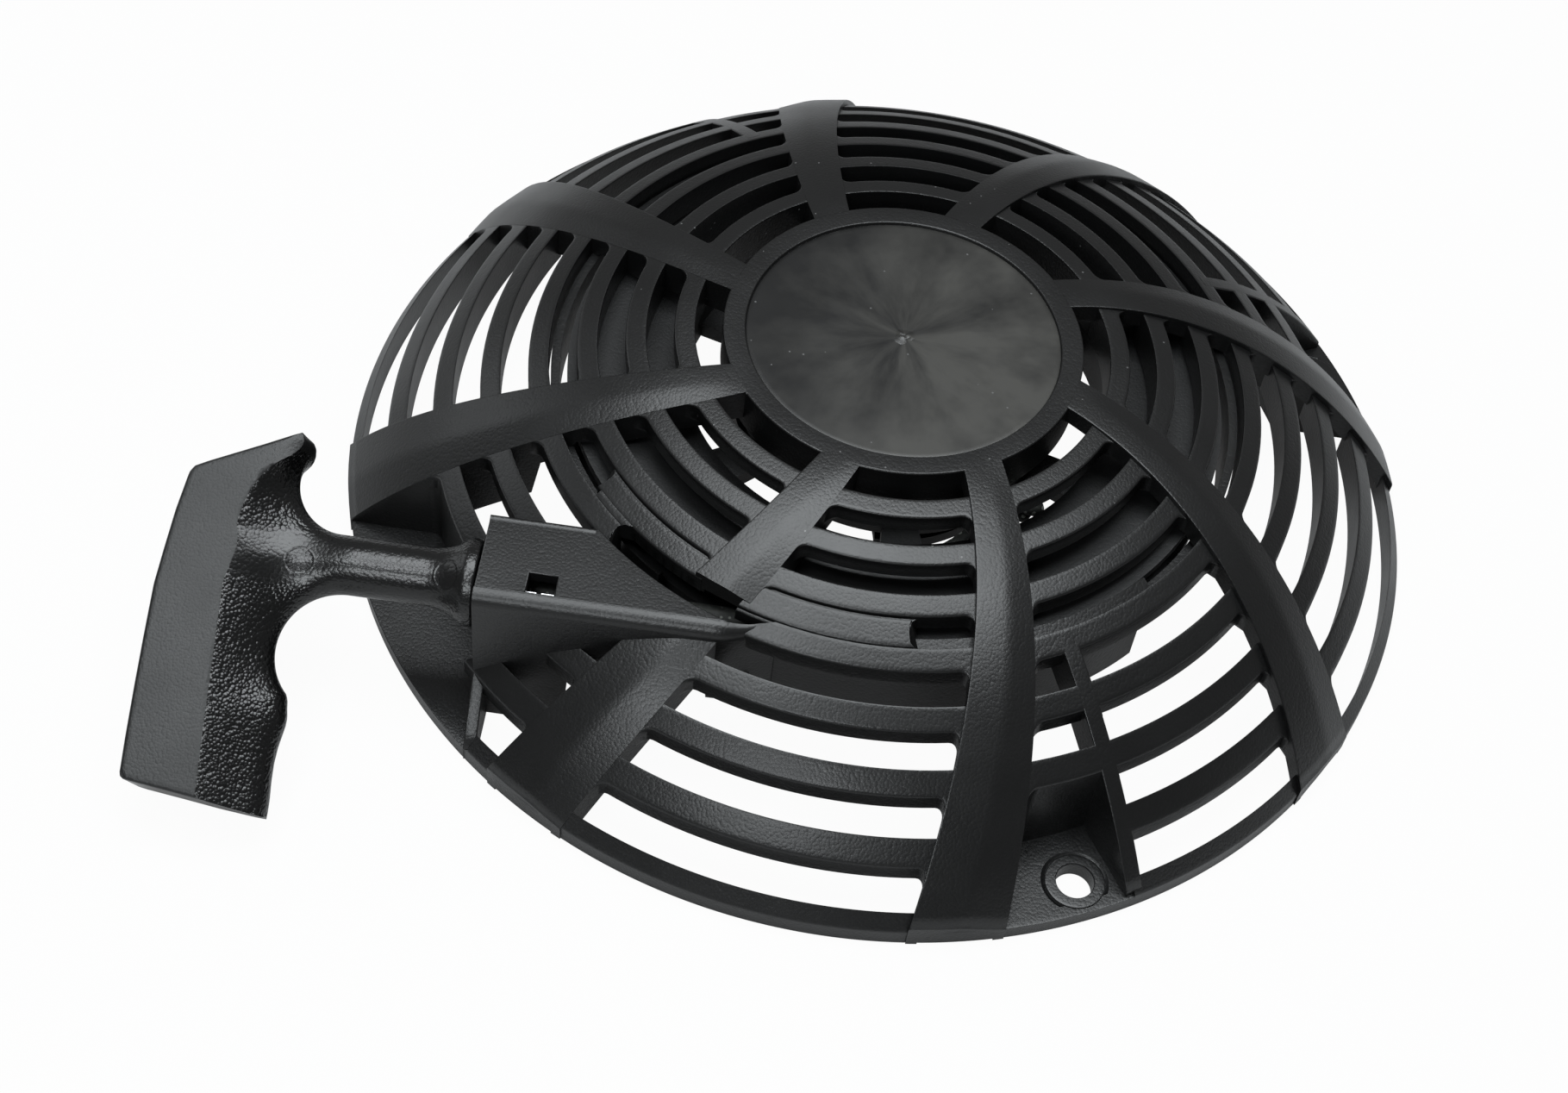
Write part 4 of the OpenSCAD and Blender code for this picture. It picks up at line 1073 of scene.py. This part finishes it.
def winding():
    """The wound rope's path, and where it stops and which way it points there."""
    path = [(x, -ROPE_R, ROPE_Z) for x in (0, 1.5, ROPE_D)]
    turns = 360 * np.arange(2, TURN_STEPS * TURNS + 1) / TURN_STEPS
    path += list(polar(ROPE_R - TURN_PITCH * turns / 360, -90 + turns, ROPE_Z))
    end_r = ROPE_R - TURN_PITCH * TURNS
    core_in = end_r - ROPE_D / 2 - CORE_GAP - CORE_WALL
    tail_r = math.sqrt((core_in - CORE_LINE - KNOT_HALF) ** 2 - (ROPE_D + KNOT_HALF - KNOT_IN) ** 2)
    t = np.arange(1, TAIL_STEPS + 1) / TAIL_STEPS
    path += list(polar(end_r + (tail_r - end_r) * t, -90 + TAIL_TURN * t, ROPE_Z))
    stop, way = polar(tail_r, TAIL_TURN - 90, ROPE_Z), polar(1.0, TAIL_TURN, 0)
    return path + [stop + TURN_PITCH * way], stop, way


wound, wound_stop, wound_way = winding()
stand_for(braid("rope_wound", wound), "pulley", "rope_winding")
run = braid("rope_straight", [(0, -ROPE_R, ROPE_Z), (-SNOUT_END - RUN_END, -ROPE_R, ROPE_Z)])
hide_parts("rope_run")
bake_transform(run)
knot("knot_in_pulley", wound_stop + (ROPE_D + KNOT_HALF - KNOT_IN) * wound_way, math.radians(TAIL_TURN),
     "pulley", "pulley_knot")
knot("knot_in_grip", (-SNOUT_END - RUN_END - KNOT_HALF + KNOT_IN, -ROPE_R, ROPE_Z), math.pi, "rope_end", "grip_knot")


def node_box(name):
    return [np.array(c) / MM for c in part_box(name)]


# Steel rope guide: an end plate with a square eye, two sides, and lips folded in along the front one's top
SHEET, EYE_HALF, LIP, LAP = 1.2, 3.2, 3.6, 0.05


def guide_sheet():
    lo, hi = node_box("rope_guide")
    plate_x = hi[0] - SHEET
    guide = Shape()
    guide.box((plate_x, lo[1], lo[2]), (hi[0], hi[1], ROPE_Z - EYE_HALF))
    guide.box((plate_x, lo[1], ROPE_Z + EYE_HALF), hi)
    for y0, y1 in ((lo[1], -ROPE_R - EYE_HALF), (-ROPE_R + EYE_HALF, hi[1])):
        guide.box((plate_x, y0, ROPE_Z - EYE_HALF), (hi[0], y1, ROPE_Z + EYE_HALF))
    guide.box(lo, (plate_x + LAP, lo[1] + SHEET, hi[2]))
    guide.box((lo[0], hi[1] - SHEET, lo[2]), (plate_x + LAP, hi[1], hi[2]))
    lip = ((lo[1] + 0.1, hi[2] - 1.6), (lo[1] + LIP, hi[2] - 0.5), (lo[1] + LIP, hi[2] - 0.05),
           (lo[1] + 0.1, hi[2] - 1.1))
    for x0, x1 in ((lo[0] + 5.4, lo[0] + 7.6), (lo[0] + 8.6, hi[0] - 2.2)):
        guide.loft([[(x, y, z) for y, z in lip] for x in (x1, x0)])
    return guide.make("guide_sheet", steel_mat, smooth=False)


stand_for(guide_sheet(), "housing", "rope_guide")


def sweep(name, path, section, material):
    """A bar of one section along a path; the section's first axis lies level, its second is Z."""
    path, section = np.asarray(path, float), np.asarray(section, float)
    tan = np.gradient(path, axis=0)
    side = unit(np.c_[tan[:, 1], -tan[:, 0]])
    bar_shape = Shape()
    bar_shape.loft([np.c_[p[:2] + section[:, :1] * q, p[2] + section[:, 1]][::-1] for p, q in zip(path, side)])
    return bar_shape.make(name, material)


STRIP_T, STRIP_TURNS, STRIP_IN, STRIP_HOOK, STRIP_EDGE = 0.8, 7, 8.6, 2.4, 0.16
WIRE, COIL_TURNS = 0.9, 2.5


def rewind_strip():
    """The rewind spring: a strip from its hook in the post out to its hook in the cup."""
    lo, hi = node_box("rewind_spring")
    out_r, mid_z, half = -lo[0] - STRIP_HOOK, (lo[2] + hi[2]) / 2, STRIP_T / 2
    t = np.linspace(0.004, 0.9985, 84 * STRIP_TURNS)
    coil = polar(STRIP_IN + half + (out_r - STRIP_IN) * t, 180 + 360 * STRIP_TURNS * t, mid_z)
    hook_in = [(-STRIP_IN + x, half, mid_z) for x in (3.0, 1.6, 0.4)]
    hook_out = [(-out_r - x, -half, mid_z) for x in (0.5, 1.4, STRIP_HOOK)]
    w, e = (hi[2] - lo[2]) / 2, STRIP_EDGE
    section = [(half, -w + e), (half, w - e), (half - e, w), (e - half, w), (-half, w - e), (-half, e - w),
               (e - half, -w), (half - e, -w)]
    return sweep("rewind_strip", np.vstack([hook_in, coil, hook_out]), section, spring_mat)


def friction_coil():
    """The friction spring: a helix of round wire."""
    lo, hi = node_box("friction_spring")
    t = np.linspace(0, 1, 140)
    coil = polar(hi[0] - WIRE / 2, 360 * COIL_TURNS * t, lo[2] + WIRE / 2 + (hi[2] - lo[2] - WIRE) * t)
    return sweep("friction_coil", coil, flat_polar(1.0, np.arange(14) * 360 / 14) * WIRE / 2, steel_mat)


stand_for(rewind_strip(), "housing", "rewind_spring")
stand_for(friction_coil(), "housing", "friction_spring")

# Solids that stay
for names, mat in ((("thrust_washer", "spring_keeper", "grip_insert"), steel_mat),
                   (("plate_screw", "pawl_a", "pawl_b"), zinc_mat),
                   (("post_insert",), brass_mat), (("pulley", "friction_plate"), pulley_mat)):
    for name in names:
        nodes[name].data.materials.clear()
        nodes[name].data.materials.append(mat)

# Floor, light and camera, in metres
WHITE = (1, 1, 1, 1)
FLOOR_HALF, FLOOR_Z = 6.0, -0.0002
LAMP_COLOUR = (0.93, 0.975, 1.0)


def white_for_view(tree, plain, share, mirror, white, out):
    """Mixes in the white that the camera and glass (share) and mirrors (mirror) see."""
    n = Nodes(tree)
    path = tree.nodes.new("ShaderNodeLightPath").outputs
    seen = n.math("MULTIPLY", n.math("MAXIMUM", path["Is Camera Ray"], path["Is Transmission Ray"]), share)
    seen = n.math("MAXIMUM", seen, n.math("MULTIPLY", path["Is Glossy Ray"], mirror))
    mix = tree.nodes.new("ShaderNodeMixShader")
    for socket, value in zip(mix.inputs, (seen, plain.outputs[0], n.node(white, Color=WHITE, Strength=1.0).outputs[0])):
        n.put(socket, value)
    n.put(tree.nodes[out].inputs["Surface"], mix.outputs[0])


def add_floor():
    mesh = bpy.data.meshes.new("floor")
    corners = [(-1, -1), (1, -1), (1, 1), (-1, 1)]
    mesh.from_pydata([(x * FLOOR_HALF, y * FLOOR_HALF, FLOOR_Z) for x, y in corners], [], [(0, 1, 2, 3)])
    in_scene("floor", mesh)
    m = Material("floor")
    for key, value in (("Base Color", (0.5, 0.5, 0.5, 1)), ("Roughness", 0.9), ("Specular IOR Level", 0.1)):
        m.set(key, value)
    white_for_view(m.tree, m.shader, 0.96, 0.15, "ShaderNodeEmission", "Material Output")
    mesh.materials.append(m.material)


def add_world():
    """A dim room, brighter behind the part than in front of it."""
    world = bpy.data.worlds.new("studio")
    bpy.context.scene.world = world
    world.use_nodes = True
    n = Nodes(world.node_tree)
    sky = world.node_tree.nodes["Background"]
    sky.inputs["Color"].default_value = WHITE
    toward = n.node("ShaderNodeSeparateXYZ", Vector=n.node("ShaderNodeTexCoord").outputs["Generated"])
    n.put(sky.inputs["Strength"], n.range(toward.outputs["Y"], 0.03, 0.17, -0.8, 0.6))
    white_for_view(world.node_tree, sky, 1.0, 0.08, "ShaderNodeBackground", "World Output")


def add_lamp(name, at, aim, size, power):
    light = bpy.data.lights.new(name, "AREA")
    light.shape = "RECTANGLE"
    light.size, light.size_y = size
    light.energy = power
    light.color = LAMP_COLOUR
    lamp = in_scene(name, light)
    lamp.location = at
    lamp.rotation_euler = (Vector(aim) - Vector(at)).to_track_quat("-Z", "Y").to_euler()


# The photograph's view: tilt and roll, distance and offsets in millimetres, focal length in its pixels
VIEW_TILT, VIEW_ROLL = math.radians(51.602), math.radians(7.928)
VIEW_AWAY, VIEW_RIGHT, VIEW_UP = 529.446, -20.746, -14.530
FOCAL_PX, PHOTO_W, SENSOR = 2771.957, 1819, 36.0


def add_camera():
    back = Vector((0, -math.cos(VIEW_TILT), math.sin(VIEW_TILT)))
    level, rising = Vector((1, 0, 0)), Vector((0, math.sin(VIEW_TILT), math.cos(VIEW_TILT)))
    right = level * math.cos(VIEW_ROLL) + rising * math.sin(VIEW_ROLL)
    up = -level * math.sin(VIEW_ROLL) + rising * math.cos(VIEW_ROLL)
    lens = bpy.data.cameras.new("camera")
    lens.sensor_width = SENSOR
    lens.lens = FOCAL_PX * SENSOR / PHOTO_W
    lens.clip_start = 0.01
    camera = in_scene("camera", lens)
    camera.matrix_world = Matrix((right, up, back)).transposed().to_4x4()
    camera.location = (back * VIEW_AWAY + right * VIEW_RIGHT + up * VIEW_UP) * MM
    bpy.context.scene.camera = camera


add_floor()
add_world()
add_lamp("softbox_top", (0.02, 0.08, 1.0), (0.01, 0, 0.02), (0.82, 0.56), 10.0)
add_lamp("softbox_grip", (-0.33, -0.38, 1.0), (-0.1, -0.07, 0.03), (0.38, 0.24), 2.9)
add_lamp("softbox_left", (-0.9, 0.35, 0.45), (0, 0, 0.02), (0.5, 0.5), 0.9)
add_lamp("softbox_front", (-0.2, -0.88, 0.64), (-0.03, -0.05, 0.03), (0.4, 0.3), 3.2)
add_camera()
bpy.context.scene.view_settings.view_transform = "Standard"
